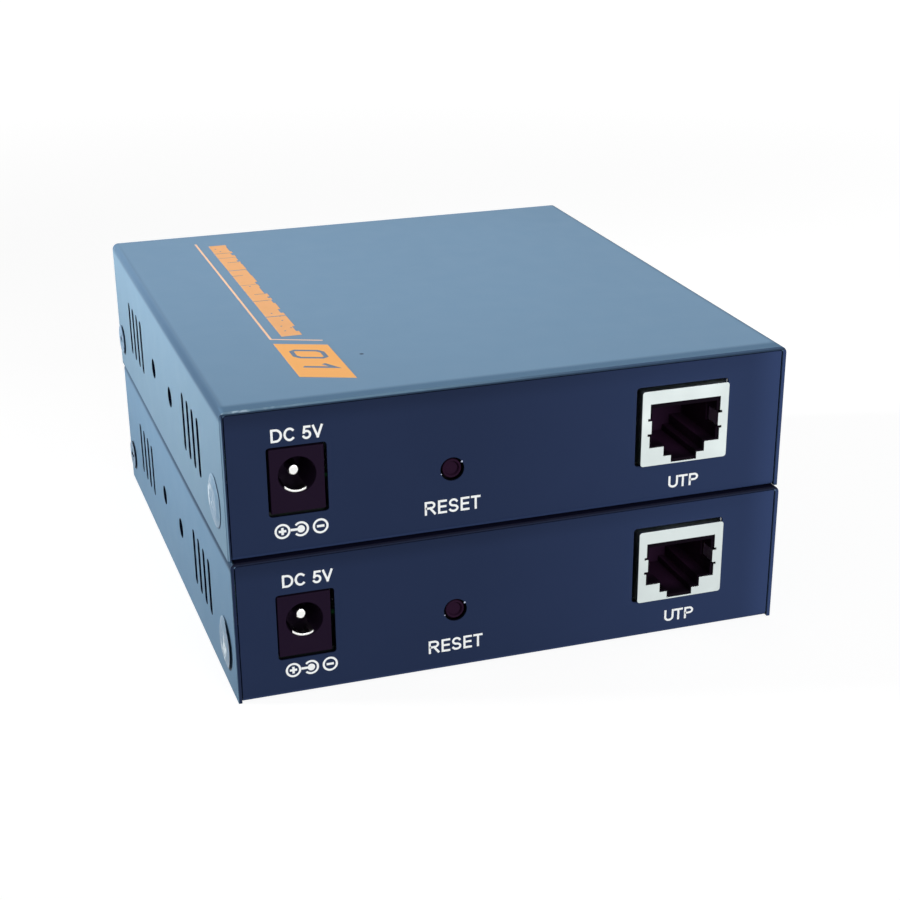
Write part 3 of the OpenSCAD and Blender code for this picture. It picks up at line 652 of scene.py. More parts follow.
# The lower unit's front lies in the upper one's shade, and its seal is the more crumpled
COVER_PAINT = {
    Level.TRANSMITTER: CoverPaint("transmitter_cover_coat", COVER_BLUE),
    Level.RECEIVER: CoverPaint(
        "receiver_cover_coat",
        COVER_BLUE,
        origin=CASE.origin(Level.RECEIVER),
        wall=(0.93, 0.96, 0.965),
        edge=screen(52, 74, 98),
        bend_reach=(0.3, 0.6),
        strip=screen(8, 8, 26),
        strip_width=(2.6, 4.0),
        lip=screen(8, 10, 28),
        lip_far=screen(8, 10, 28),
        lip_foot=screen(26, 33, 54),
        lip_glint=0.0,
        tip_width=0.02,
        seam_shade=0.0,
        seal_shade=0.6,
        seal_tone=screen(14, 24, 46),
        fleck=None,
    ),
}
PANEL_PAINT = {
    level: PanelPaint(f"{level.name.lower()}_panel_coat", PANEL_NAVY, origin=CASE.origin(level))
    for level in Level
}
SEAL_FOIL = {
    Level.TRANSMITTER: SealFoil("transmitter_seal_film", SEAL_BLUE),
    Level.RECEIVER: SealFoil(
        "receiver_seal_film",
        SEAL_BLUE,
        origin=CASE.origin(Level.RECEIVER),
        wrinkle=0.95,
        wrinkle_place=(-0.2, -0.9),
        rim_shade=screen(20, 36, 62),
    ),
}
SCREW_COAT = ScrewCoat(
    "screw_coat", screen(122, 152, 178), 0.45, specular=0.12, drift=0.12, drift_size=1.5,
    smear=0.3, grain_size=0.2, grain_depth=0.004,
)
STEEL_PLATE = Metal(
    "tin_plate", screen(203, 212, 211), 0.32, drift=0.05, smear=0.35, grain_size=0.25, grain_depth=0.002
)
ZINC = Metal(
    "zinc_plate", screen(184, 190, 196), 0.3, drift=0.1, drift_size=2, smear=0.3, grain_size=0.2,
    grain_depth=0.003,
)
BRIGHT_NICKEL = Metal(
    "bright_nickel", screen(240, 240, 238), 0.14, drift=0.04, smear=0.2, grain_depth=0.001
)
GOLD_FLASH = Metal("gold_flash", screen(226, 180, 92), 0.24, drift_size=2, smear=0.25)
SINK_ALUMINIUM = Metal(
    "sink_aluminium", screen(176, 180, 186), 0.42, drift_size=2, stretch=(1, 12, 1), grain_size=0.12,
    grain_depth=0.004,
)
CAN_ALUMINIUM = Metal(
    "can_aluminium", screen(196, 199, 203), 0.3, drift=0.05, stretch=(1, 1, 6), grain_size=0.12,
    grain_depth=0.003,
)
BLACK_MOULDING = Moulding("black_moulding", screen(17, 12, 19), 0.55, specular=0.06, drift=0.1)
JACK_MOULDING = DeepMoulding("jack_moulding", screen(15, 8, 17), 0.6, drift=0.1)
MAROON_MOULDING = Moulding("maroon_moulding", screen(31, 20, 37))
BUTTON_MOULDING = Moulding("button_moulding", screen(40, 21, 40))
CHIP_RESIN = Finish(
    "chip_resin", screen(30, 30, 33), 0.6, specular=0.35, drift=0.12, drift_size=3, grain_size=0.08,
    grain_depth=0.004,
)
FERRITE = Finish(
    "ferrite_black", screen(44, 43, 45), 0.55, specular=0.4, drift=0.15, drift_size=2, grain_size=0.2
)
LIGHT_RESIN = Finish(
    "light_resin", screen(176, 214, 150), 0.12, coat=0.5, drift_size=1.5, grain_depth=0.001
)
LAMINATE = BoardLacquer(
    "board_lacquer", screen(26, 84, 52), 0.35, drift=0.1, drift_size=4, grain_size=0.3, grain_depth=0.006
)
WHITE_INK = Ink(
    "white_ink", screen(252, 255, 255), specular=0.2, drift_size=1, grain_size=0.12, grain_depth=0.004
)
BADGE_INK = Ink("badge_ink", screen(255, 185, 108), drift=0.015, drift_size=6)
STRIP_INK = Ink("strip_ink", screen(243, 180, 122), drift=0.04, drift_size=2)
LINE_INK = Ink("line_ink", screen(252, 208, 174), drift_size=3)
# Painted glints on the rim of the reset button's hole
GLINT_PAINT = Finish(
    "bare_metal", screen(186, 192, 216), 0.4, specular=0.3, drift=0.08, drift_size=0.5, grain_size=0.1,
    grain_depth=0.002,
)
BARE_GLYPH = Finish(
    "bare_coat", screen(112, 134, 158), 0.55, specular=0.1, drift=0.03, drift_size=4, grain_size=0.35,
    grain_depth=0.006,
)


class Meshes:
    """Makes meshes from arrays of points in millimetres."""

    @staticmethod
    def make(name: str, points: Points, faces: Iterable[Sequence[int]]) -> bpy.types.Mesh:
        """Builds a mesh with its doubles merged and its faces turned outwards.

        Args:
            name: Name of the mesh.
            points: Rows of x, y and z in millimetres.
            faces: Corners of each face.

        Returns:
            The mesh, in metres.
        """
        mesh = bpy.data.meshes.new(name)
        mesh.from_pydata((points * MM).tolist(), [], [tuple(map(int, face)) for face in faces])
        Meshes.clean(mesh)
        return mesh

    @staticmethod
    def clean(mesh: bpy.types.Mesh, flat: bool = False) -> None:
        """Merges doubles, turns the faces outwards and smooths all but the sharp edges.

        Args:
            mesh: The mesh.
            flat: Whether triangles that lie in one plane are joined into one face first.
        """
        work = bmesh.new()
        work.from_mesh(mesh)
        bmesh.ops.remove_doubles(work, verts=work.verts, dist=0.0005 * MM)
        if flat:
            bmesh.ops.dissolve_limit(
                work, angle_limit=math.radians(0.5), verts=work.verts, edges=work.edges
            )
        bmesh.ops.recalc_face_normals(work, faces=work.faces)
        work.to_mesh(mesh)
        work.free()
        mesh.polygons.foreach_set("use_smooth", np.ones(len(mesh.polygons), bool))
        mesh.set_sharp_from_angle(angle=math.radians(32))

    @staticmethod
    def grid(rows: int, columns: int, closed: bool = True) -> np.ndarray:
        """Faces of a grid of points, row by row.

        Args:
            rows: Number of rows.
            columns: Number of points in a row.
            closed: Whether each row runs round and meets its own start.

        Returns:
            One row of four corners for each face.
        """
        steps = columns if closed else columns - 1
        row, column = np.meshgrid(np.arange(rows - 1) * columns, np.arange(steps), indexing="ij")
        after, above = (column + 1) % columns, row + columns
        corners = (row + column, row + after, above + after, above + column)
        return np.stack(corners, -1).reshape(-1, 4)

    @staticmethod
    def copy_of(node: str) -> bpy.types.Mesh:
        """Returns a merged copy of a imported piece's mesh, its flat faces whole."""
        mesh = frame["nodes"][node].data.copy()
        mesh.materials.clear()
        Meshes.clean(mesh, flat=True)
        return mesh

    @staticmethod
    def lathe(name: str, profile: Points, origin: Sequence[float], steps: int = 64) -> bpy.types.Mesh:
        """Turns a profile about a line along y.

        The point at share t of the turn and row i of the profile lies at radius r(i) from the
        line: x = r cos(2 pi t), z = r sin(2 pi t), and y = h(i).

        Args:
            name: Name of the mesh.
            profile: Rows of radius and y, from one pole to the other.
            origin: Point of the line where y is zero.
            steps: Number of steps in the turn.

        Returns:
            The mesh.
        """
        turn = np.linspace(0, 2 * np.pi, steps, endpoint=False)
        radius, along = profile[:, :1], profile[:, 1:]
        points = np.stack(
            [radius * np.cos(turn), along + 0 * turn, radius * np.sin(turn)], -1
        ).reshape(-1, 3) + np.asarray(origin, float)
        return Meshes.make(name, points, Meshes.grid(len(profile), steps))


class Shop:
    """Turns meshes into the object's pieces: finish, body and the node that each stands for."""

    @staticmethod
    def piece(
        mesh: bpy.types.Mesh, body: str, finish: Finish, slot: str, replaced: Sequence[str] = ()
    ) -> bpy.types.Object:
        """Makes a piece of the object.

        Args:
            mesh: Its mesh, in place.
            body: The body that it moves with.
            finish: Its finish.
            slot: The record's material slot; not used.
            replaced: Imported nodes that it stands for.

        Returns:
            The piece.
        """
        mesh.materials.append(finish.build())
        made = bpy.data.objects.new(mesh.name, mesh)
        bpy.context.scene.collection.objects.link(made)
        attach(made, body)
        if replaced:
            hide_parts(*replaced)
        log.info("%s: %d faces, %s", made.name, len(mesh.polygons), finish.name)
        return made

    @staticmethod
    def bevel(piece: bpy.types.Object, width: float, segments: int = 2) -> bpy.types.Object:
        """Rounds a piece's edges of more than 35 degrees by a width in millimetres."""
        modifier = piece.modifiers.new("rounding", "BEVEL")
        modifier.width = width * MM
        modifier.segments = segments
        modifier.limit_method = "ANGLE"
        modifier.angle_limit = math.radians(35)
        modifier.harden_normals = True
        return piece


SLOTS = {row["node"]: row["material_slot"] for row in frame["record"]["subparts"]}


class Part:
    """A sub-assembly of one unit.

    Its list of pieces has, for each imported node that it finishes, the node's name without the
    unit's, the finish, and the rounding of the edges in millimetres. Where the rounding is zero,
    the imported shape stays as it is.
    """

    pieces: tuple[tuple[str, Finish, float], ...] = ()

    def __init__(self, level: Level) -> None:
        """Keeps the unit that the part belongs to."""
        self.level = level
        self.unit = level.name.lower()
        self.origin = CASE.origin(level)

    def slot_of(self, kind: str) -> str:
        """Returns the record's material slot of one kind of piece."""
        return SLOTS[f"{self.unit}_{kind}"]

    def swap(
        self, mesh: bpy.types.Mesh, kind: str, finish: Finish, body: str | None = None
    ) -> bpy.types.Object:
        """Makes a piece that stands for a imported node.

        Args:
            mesh: Its mesh, in place.
            kind: The node's name without the unit's.
            finish: The finish.
            body: The body that it moves with, if not the unit's.

        Returns:
            The piece.
        """
        return Shop.piece(mesh, body or self.unit, finish, self.slot_of(kind), [f"{self.unit}_{kind}"])

    def rounded(self, kind: str, finish: Finish, width: float) -> None:
        """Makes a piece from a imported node's own shape, with its edges rounded by a width."""
        mesh = Meshes.copy_of(f"{self.unit}_{kind}")
        mesh.name = f"{self.unit}_{kind}_finished"
        Shop.bevel(self.swap(mesh, kind, finish), width)

    def dress(self, kind: str, finish: Finish) -> None:
        """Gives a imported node, which stays as it is, a finish."""
        node = frame["nodes"][f"{self.unit}_{kind}"]
        node.data.materials.clear()
        node.data.materials.append(finish.build())
        log.info("%s: packed shape, %s", node.name, finish.name)

    def build(self) -> None:
        """Makes the pieces on the list."""
        for kind, finish, width in self.pieces:
            if width:
                self.rounded(kind, finish, width)
            else:
                self.dress(kind, finish)


class Housing(Part):
    """Cover, tray, screws and seal of a unit."""

    pieces = (("cover_screws", SCREW_COAT, 0.1),)
    sheet_rounding = 0.12
    seal_thickness = 0.08
    seal_lift = 0.5
    seal_rim = 0.12
    cross_half = 0.38
    cross_length = 1.5
    cross_sink = 0.06
    wave = 0.022
    ripple = 0.012
    front_reach = 3.0
    front_lift = {Level.RECEIVER: 0.75, Level.TRANSMITTER: 0.0}

    def seal_mesh(self) -> bpy.types.Mesh:
        """Makes the seal as two discs of polar grid that meet at the rim.

        At radius r and angle a the film lies seal_lift off the wall. It sinks over the screw's
        cross, a bell curve across each arm, it falls by an S-curve to seal_rim past the screw's
        head, less so at its front, and low waves in r and a crease it.
        """
        rings, steps = 26, 72
        radius = np.linspace(0.02, 1, rings)[:, None] * CASE.seal_radius
        angle = np.linspace(0, 2 * np.pi, steps, endpoint=False)[None, :]
        radius = radius * (1 + 0.006 * np.sin(5 * angle + 1) + 0.004 * np.sin(11 * angle))
        along, up = radius * np.cos(angle), radius * np.sin(angle)
        cross = sum(
            np.exp(-((side / self.cross_half) ** 4)) * (np.abs(arm) < self.cross_length)
            for side, arm in ((along, up), (up, along))
        )
        crease = self.wave * np.sin(1.9 * along + 1.3 * up) * np.sin(1.1 * up - 2.3 * along + 0.7)
        crease += self.ripple * np.sin(4.7 * up + 0.6) * np.cos(3.9 * along)
        fall = np.clip((radius - CASE.screw_radius) / (CASE.seal_radius - CASE.screw_radius), 0, 1)
        kept = 1 - self.front_lift[self.level] * np.clip(-along / self.front_reach, 0, 1)
        drop = fall * fall * (3 - 2 * fall) * (self.seal_lift - self.seal_rim) * kept
        height = self.seal_lift - self.cross_sink * np.clip(cross, 0, 1) + crease - drop
        y = CASE.seal_place[0] - CASE.depth / 2
        outer = np.stack([-CASE.width / 2 - height, y + along, CASE.seal_place[1] + up], -1)
        inner = outer + (self.seal_thickness, 0, 0)
        points = np.concatenate([outer, inner[::-1]]).reshape(-1, 3) + self.origin
        faces = Meshes.grid(2 * rings, steps).tolist()
        faces.append(list(range(steps)))
        faces.append(list(range((2 * rings - 1) * steps, 2 * rings * steps))[::-1])
        return Meshes.make(f"{self.unit}_screw_seal_film", points, faces)

    def build(self) -> None:
        """Makes the pieces."""
        self.rounded("cover", COVER_PAINT[self.level], self.sheet_rounding)
        self.rounded("base_tray", PANEL_PAINT[self.level], self.sheet_rounding)
        super().build()
        self.swap(self.seal_mesh(), "screw_seal", SEAL_FOIL[self.level])


class NetworkJack(Part):
    """Shielded network jack."""

    pieces = (
        ("network_jack_shield", STEEL_PLATE, 0.12),
        ("network_jack_insert", JACK_MOULDING, 0.08),
        ("network_jack_contacts", GOLD_FLASH, 0.05),
    )


class PowerJack(Part):
    """Barrel jack with its domed pin and its spring."""

    pieces = (("power_jack_body", MAROON_MOULDING, 0.15), ("power_jack_spring", BRIGHT_NICKEL, 0.04))
    pin_radius = 1.0
    pin_edge = 0.45
    pin_bulge = 0.12
    pin_tip = 2.2
    pin_root = 9.5
    place_x = 12.05
    rise = 6.3
    sunk = 0.4
    shifts = {Level.RECEIVER: -0.2, Level.TRANSMITTER: 0.0}

    def pin_mesh(self) -> bpy.types.Mesh:
        """Makes the centre pin: a nearly flat tip, a quarter-circle edge, a shank and a flat root."""
        flat = np.linspace(0, 1, 6)[:, None] * (self.pin_radius - self.pin_edge)
        disc = np.concatenate([flat, self.pin_tip + self.pin_bulge * (flat / self.pin_radius) ** 2], -1)
        turn = np.linspace(0, np.pi / 2, 9)[1:, None]
        dome = disc[-1] + self.pin_edge * np.concatenate([np.sin(turn), 1 - np.cos(turn)], -1)
        shank = np.array([(self.pin_radius, self.pin_root), (0.0, self.pin_root)])
        x = self.place_x - CASE.width / 2 + self.shifts[self.level]
        place = (x, self.sunk - CASE.depth / 2, CASE.board_top + self.rise)
        profile = np.concatenate([disc, dome, shank])
        return Meshes.lathe(f"{self.unit}_power_jack_pin_turned", profile, np.add(place, self.origin))

    def build(self) -> None:
        """Makes the pieces."""
        super().build()
        self.swap(self.pin_mesh(), "power_jack_pin", BRIGHT_NICKEL)


class ResetSwitch(Part):
    """Reset button, a body of its own, in its switch."""

    pieces = (("reset_switch_body", BLACK_MOULDING, 0.1),)
    radius = 1.65
    flat = 1.05
    edge = 0.22
    face = 0.5
    sunk = 0.95
    root = 4.7
    place_x = 37.95
    rise = 3.85

    def button_mesh(self) -> bpy.types.Mesh:
        """Makes the button: a flat sunk face, a cone up to its rim, a rounded rim and a straight side."""
        dish = np.linspace(0, 1, 6)[:, None] * self.flat
        face = np.concatenate([dish, self.sunk + 0 * dish], -1)
        turn = np.linspace(-np.pi / 2, np.pi / 2, 12)[:, None]
        start = (self.radius - self.edge, self.face)
        rim = start + self.edge * np.concatenate([np.sin(turn), 1 - np.cos(turn)], -1)
        side = np.array([(self.radius, self.root), (0.0, self.root)])
        place = (self.place_x - CASE.width / 2, -CASE.depth / 2, CASE.board_top + self.rise)
        profile = np.concatenate([face, rim, side])
        return Meshes.lathe(f"{self.unit}_reset_button_cap", profile, np.add(place, self.origin))

    def build(self) -> None:
        """Makes the pieces."""
        super().build()
        self.swap(self.button_mesh(), "reset_button", BUTTON_MOULDING, f"{self.unit}_button")


class RearSockets(Part):
    """Video and data sockets and the two status lights in the rear panel."""

    pieces = (
        ("video_socket_shells", STEEL_PLATE, 0.08),
        ("video_socket_inserts", BLACK_MOULDING, 0.1),
        ("video_socket_contacts", GOLD_FLASH, 0.03),
        ("data_socket_shells", STEEL_PLATE, 0.08),
        ("data_socket_inserts", BLACK_MOULDING, 0.1),
        ("data_socket_contacts", GOLD_FLASH, 0.03),
        ("status_lights", LIGHT_RESIN, 0.0),
        ("light_holders", BLACK_MOULDING, 0.15),
    )


class Board(Part):
    """Circuit board and what it carries."""

    pieces = (
        ("circuit_board", LAMINATE, 0.0),
        ("board_standoffs", ZINC, 0.1),
        ("board_screws", ZINC, 0.1),
        ("main_chip", CHIP_RESIN, 0.1),
        ("heat_sink", SINK_ALUMINIUM, 0.12),
        ("network_transformer", CHIP_RESIN, 0.25),
        ("filter_capacitors", CAN_ALUMINIUM, 0.3),
        ("power_inductors", FERRITE, 0.3),
        ("crystals", BRIGHT_NICKEL, 0.3),
        ("support_chips", CHIP_RESIN, 0.12),
    )


@dataclass(frozen=True)
class Stroke:
    """A flat band of ink that follows a line of points, in millimetres on its plane."""

    path: tuple[tuple[float, float], ...]
    width: float
    closed: bool = False

    def edges(self) -> tuple[Points, Points]:
        """Returns the band's two edges: the line moved to each side by half the width, mitred."""
        line = np.asarray(self.path, float)
        before = np.roll(line, 1, 0) if self.closed else np.vstack([2 * line[:1] - line[1:2], line[:-1]])
        after = np.roll(line, -1, 0) if self.closed else np.vstack([line[1:], 2 * line[-1:] - line[-2:-1]])
        into, out = line - before, after - line
        into /= np.linalg.norm(into, axis=1, keepdims=True)
        out /= np.linalg.norm(out, axis=1, keepdims=True)
        normal = np.stack([-(into + out)[:, 1], (into + out)[:, 0]], -1)
        normal /= np.linalg.norm(normal, axis=1, keepdims=True)
        cosine = normal[:, 0] * -out[:, 1] + normal[:, 1] * out[:, 0]
        offset = normal * (self.width / 2 / np.maximum(cosine, 0.3))[:, None]
        return line + offset, line - offset

    def shell(self, low: float, high: float) -> tuple[Points, list[tuple[int, ...]]]:
        """Returns the closed shell of the band between two heights: its points and faces."""
        left, right = self.edges()
        count = len(left)
        ring = np.stack(
            [np.column_stack([edge, np.full(count, height)])
             for edge, height in ((left, low), (left, high), (right, high), (right, low))], 1
        )
        points = ring.reshape(-1, 3)
        if self.closed:
            points = np.vstack([points, ring[:1].reshape(-1, 3)])
            count += 1
        faces = [tuple(face) for face in Meshes.grid(count, 4)]
        if not self.closed:
            faces += [(0, 1, 2, 3), tuple(4 * (count - 1) + i for i in (3, 2, 1, 0))]
        return points, faces


def arc(centre: tuple[float, float], radius: float, start: float, end: float, steps: int) -> tuple:
    """Returns points of an arc, from a start angle to an end angle in degrees."""
    angle = np.radians(np.linspace(start, end, steps))
    return tuple(zip(centre[0] + radius * np.cos(angle), centre[1] + radius * np.sin(angle)))


def circle(centre: tuple[float, float], radius: float, width: float, steps: int = 48) -> Stroke:
    """Returns a ring of ink, or a spot where the pen reaches nearly to the middle."""
    return Stroke(arc(centre, radius, 0, 360, steps + 1)[:-1], width, closed=True)


def bar(x0: float, y0: float, x1: float, y1: float) -> Stroke:
    """Returns a rectangle of ink between two corners."""
    middle = (y0 + y1) / 2
    return Stroke(((x0, middle), (x1, middle)), y1 - y0)


def bow(
    x: float, y: float, across: float, up: float, start: float, end: float, steps: int = 18
) -> tuple:
    """Returns points of an ellipse's arc about (x, y), from a start angle to an end angle in degrees."""
    angle = np.radians(np.linspace(start, end, steps))
    return tuple(zip(x + across * np.cos(angle), y + up * np.sin(angle)))


# Capitals as pen lines in a cell from 0 to 1 both ways; a first line that ends at its start is closed.
LETTERS = {
    "C": (bow(0.5, 0.5, 0.5, 0.5, 48, 312, 30),),
    "D": (((0, 0), (0, 1), *bow(0.42, 0.5, 0.58, 0.5, 90, -90), (0, 0)),),
    "E": (((1, 1), (0, 1), (0, 0), (1, 0)), ((0.1, 0.52), (0.92, 0.52))),
    "P": (((0, 0), (0, 1), *bow(0.55, 0.735, 0.45, 0.265, 90, -90), (0.1, 0.47)),),
    "R": (((0, 0), (0, 1), *bow(0.55, 0.75, 0.4, 0.25, 90, -90), (0.1, 0.5)), ((0.5, 0.5), (1, 0))),
    "S": ((*bow(0.5, 0.74, 0.46, 0.26, 25, 262), *bow(0.5, 0.24, 0.5, 0.24, 82, -155)),),
    "T": (((0, 1), (1, 1)), ((0.5, 0), (0.5, 0.95))),
    "U": (((0, 1), *bow(0.5, 0.33, 0.5, 0.33, 180, 360), (1, 1)),),
    "V": (((0, 1), (0.5, 0.02)), ((1, 1), (0.5, 0.02))),
    "5": (((0.9, 1), (0.2, 1), (0.1, 0.5)), bow(0.46, 0.31, 0.5, 0.31, 132, -148, 26)),
}


def letter(name: str, left: float, right: float, low: float, high: float, width: float) -> list[Stroke]:
    """Returns the strokes of a capital that fills a rectangle.

    Args:
        name: The capital.
        left: Left edge of the rectangle, in millimetres as the rest.
        right: Right edge.
        low: Lower edge.
        high: Upper edge.
        width: Thickness of the pen.

    Returns:
        The strokes, each open one run on by half the pen past its ends.
    """
    half = width / 2
    made = []
    for line in LETTERS[name]:
        size = (right - left - width, high - low - width)
        points = np.array(line, float) * size + (left + half, low + half)
        closed = bool(np.allclose(points[0], points[-1]))
        if closed:
            points = points[:-1]
        else:
            first, last = points[0] - points[1], points[-1] - points[-2]
            points[0] += first / np.linalg.norm(first) * half
            points[-1] += last / np.linalg.norm(last) * half
        made.append(Stroke(tuple(map(tuple, points)), width, closed))
    return made


class Prints(Part):
    """Screen prints of a unit: labels by the sockets and, on the upper unit, a badge on the cover.

    Places are in millimetres from the front panel's lower left corner, or the cover's front left one.
    """

    ink_thickness = 0.015
    ink_root = 0.02
    ink_step = 0.001
    number_lift = 0.01
    pen = 0.38
    lower_shift = (0.36, 0.45)
    # Left and right edge of each capital, then the label's lower and upper edge
    power_label = (
        (("D", 8.0, 9.88), ("C", 10.1, 12.05), ("5", 13.08, 14.62), ("V", 14.72, 16.5)), 19.4, 21.65
    )
    reset_label = (
        (
            ("R", 33.1, 35.02),
            ("E", 35.39, 36.95),
            ("S", 37.24, 38.95),
            ("E", 39.32, 40.87),
            ("T", 41.12, 42.8),
        ),
        3.4,
        5.8,
    )
    network_label = ((("U", 77.0, 78.8), ("T", 78.85, 80.6), ("P", 80.86, 82.6)), 2.2, 4.4)
    # Middles of the polarity sign's plus, ring and minus, then the sizes of its strokes
    signs = ((9.15, 4.12), (12.21, 4.16), (15.46, 4.2))
    sign_radius = 1.13
    sign_pen = 0.36
    sign_arm = 0.62
    sign_bar = 0.42
    ring_reach = 140
    ring_gap = 0.55
    dot_radius = 0.32
    dot_pen = 0.62
    # Middle of the reset button's hole, how far out the painted glints on its rim lie, and their turns and
    # sizes
    button_hole = (37.95, 11.0)
    glint_reach = 2.02
    glint_spots = ((35, 0.085), (200, 0.05))
    # The strip's sides, where its bars start, where the last one may start, and its far end
    strip_sides = (18.2, 21.85)
    strip_run = (34.2, 97.4, 98.4)
    strip_first = 45.0
    bar_widths = (0.8, 2.6)
    bar_notches = (0.0, 0.0, 0.12, 0.3, 0.5)
    bar_gap = 0.008
    group_gaps = (0.2, 0.34)
    group_lengths = (7, 13)
    # Bare spots in the strip by their distance from the front, and bare lines with their two ends
    spots = (37.2, 38.6, 40.1, 43.4, 46.0, 48.2, 66.5, 93.2, 95.4)
    spot_span = (18.9, 21.0)
    spot_radius = 0.09
    spot_pen = 0.17
    lines = (
        (56.4, 18.2, 21.0), (60.8, 19.4, 21.5), (74.4, 18.2, 20.2), (84.3, 19.3, 21.6), (91.6, 18.2, 21.4)
    )
    line_width = 0.16
    # The line round the strip, and the badge's corner and its two sides
    angle_line = ((16.0, 100.5), (16.1, 33.3), (24.4, 29.85))
    angle_pen = 0.42
    badge_corner = (15.95, 12.35)
    badge_across = (8.7, -3.54)
    badge_along = (-0.05, 18.39)
    digit_pen = 0.75
    # Outline of the nought and line of the one, as shares of the badge's width and length
    nought_shares = (
        (0.3, 0.58), (0.7, 0.58), (0.78, 0.62), (0.78, 0.76),
        (0.7, 0.8), (0.3, 0.8), (0.22, 0.76), (0.22, 0.62),
    )
    one_shares = ((0.22, 0.3), (0.78, 0.3), (0.62, 0.4))

    def lay(
        self, name: str, plane: Plane, points: Points, faces: list, finish: Finish, lift: float = 0.0
    ) -> None:
        """Puts a print on its face and makes it a piece.

        Args:
            name: Name of the piece, without the unit's.
            plane: Face that the print is on.
            points: Its points: across, up and outward.
            faces: Its faces.
            finish: The ink.
            lift: Height over the face at which the ink starts.
        """
        across, up, out = (np.asarray(axis, float) for axis in plane.value)
        corner, carrier = {
            Plane.FRONT: ((-CASE.width / 2, -CASE.depth / 2 + CASE.recess, 0), "base_tray"),
            Plane.TOP: ((-CASE.width / 2, -CASE.depth / 2, CASE.height), "cover"),
        }[plane]
        placed = points @ np.stack([across, up, out]) + np.add(corner, self.origin) + out * lift
        mesh = Meshes.make(f"{self.unit}_{name}", placed, faces)
        Shop.piece(mesh, self.unit, finish, self.slot_of(carrier))

    def strokes(
        self, name: str, plane: Plane, shapes: Sequence[Stroke], finish: Finish, lift: float = 0.0
    ) -> None:
        """Makes one piece of flat strokes of ink. The arguments are those of lay, with strokes."""
        points, faces, count = [], [], 0
        for number, shape in enumerate(shapes):
            body, sides = shape.shell(-self.ink_root, self.ink_thickness + self.ink_step * (number % 4))
            points.append(body)
            faces += [tuple(count + corner for corner in side) for side in sides]
            count += len(body)
        self.lay(name, plane, np.vstack(points), faces, finish, lift)

    def label(self, name: str, layout: tuple, shift: Sequence[float] = (0, 0)) -> None:
        """Makes a line of capitals on the front panel.

        Args:
            name: Name of the piece, without the unit's.
            layout: Each capital with its left and right edge, then the lower and the upper edge.
            shift: Offset of the whole label.
        """
        capitals, low, high = layout
        shapes = []
        for capital, left, right in capitals:
            place = (left + shift[0], right + shift[0], low + shift[1], high + shift[1])
            shapes += letter(capital, *place, self.pen)
        self.strokes(name, Plane.FRONT, shapes, WHITE_INK)

    def polarity(self, shift: Sequence[float] = (0, 0)) -> list[Stroke]:
        """Returns the usual sign of a centre-positive jack: plus, an open ring round a dot, and minus."""
        plus, ring, minus = ((x + shift[0], y + shift[1]) for x, y in self.signs)
        radius, pen, arm, half = self.sign_radius, self.sign_pen, self.sign_arm, self.sign_bar / 2
        return [
            circle(plus, radius, pen),
            circle(minus, radius, pen),
            Stroke(arc(ring, radius, -self.ring_reach, self.ring_reach, 40), pen),
            circle(ring, self.dot_radius, self.dot_pen, 24),
            bar(plus[0] - arm, plus[1] - half, plus[0] + arm, plus[1] + half),
            bar(plus[0] - half, plus[1] + half, plus[0] + half, plus[1] + arm),
            bar(plus[0] - half, plus[1] - arm, plus[0] + half, plus[1] - half),
            bar(minus[0] - arm, minus[1] - half, minus[0] + arm, minus[1] + half),
            bar(plus[0] + radius + half, ring[1] - half, ring[0] - self.ring_gap, ring[1] + half),
        ]

    def glints(self) -> list[Stroke]:
        """Returns the painted glints on the rim of the reset button's hole."""
        return [
            circle(arc(self.button_hole, self.glint_reach, turn, turn, 1)[0], size, 1.9 * size, 12)
            for turn, size in self.glint_spots
        ]

    def strip(self) -> list[Stroke]:
        """Returns a nearly solid row of bars with an uneven right edge, thin gaps between its groups."""
        random = np.random.default_rng(5)
        (left, right), (y, last, limit), end = self.strip_sides, self.strip_run, self.strip_first
        shapes = []
        while y < last:
            width = float(random.uniform(*self.bar_widths))
            side = right - float(random.choice(self.bar_notches))
            top = min(y + width, limit)
            shapes.append(bar(left, y, side, top))
            y = top + self.bar_gap
            if y > end:
                gap = float(random.choice(self.group_gaps))
                y, end = y + gap, y + float(random.uniform(*self.group_lengths))
        return shapes

    def specks(self) -> list[Stroke]:
        """Returns small bare spots and short lines in the strip."""
        random = np.random.default_rng(8)
        shapes = []
        for y in self.spots:
            x = float(random.uniform(*self.spot_span))
            shapes.append(circle((x, y), self.spot_radius, self.spot_pen, 12))
        return shapes + [bar(left, y, right, y + self.line_width) for y, left, right in self.lines]

    def on_badge(self, shares: Sequence[Sequence[float]]) -> tuple:
        """Moves points given as shares of the badge's width and length into its slanted outline."""
        placed = self.badge_corner + np.asarray(shares, float) @ (self.badge_across, self.badge_along)
        return tuple(map(tuple, placed))

    def badge(self) -> None:
        """Makes the angle line, the strip and the badge with its plain number."""
        line = Stroke(self.angle_line, self.angle_pen)
        self.strokes("cover_line_print", Plane.TOP, [line], LINE_INK)
        self.strokes("cover_strip_print", Plane.TOP, self.strip(), STRIP_INK)
        self.strokes("cover_strip_specks", Plane.TOP, self.specks(), BARE_GLYPH, self.number_lift)
        corners = self.on_badge([(0, 0), (0, 1), (1, 1), (1, 0)])
        ends = (-self.ink_root, self.ink_thickness)
        points = np.array([(*corner, height) for height in ends for corner in corners])
        faces = [(0, 1, 2, 3), (4, 5, 6, 7), (0, 1, 5, 4), (1, 2, 6, 5), (2, 3, 7, 6), (3, 0, 4, 7)]
        self.lay("cover_badge_print", Plane.TOP, points, faces, BADGE_INK)
        digits = [
            Stroke(self.on_badge(self.nought_shares), self.digit_pen, closed=True),
            Stroke(self.on_badge(self.one_shares), self.digit_pen),
        ]
        self.strokes("cover_badge_number", Plane.TOP, digits, BARE_GLYPH, self.number_lift)

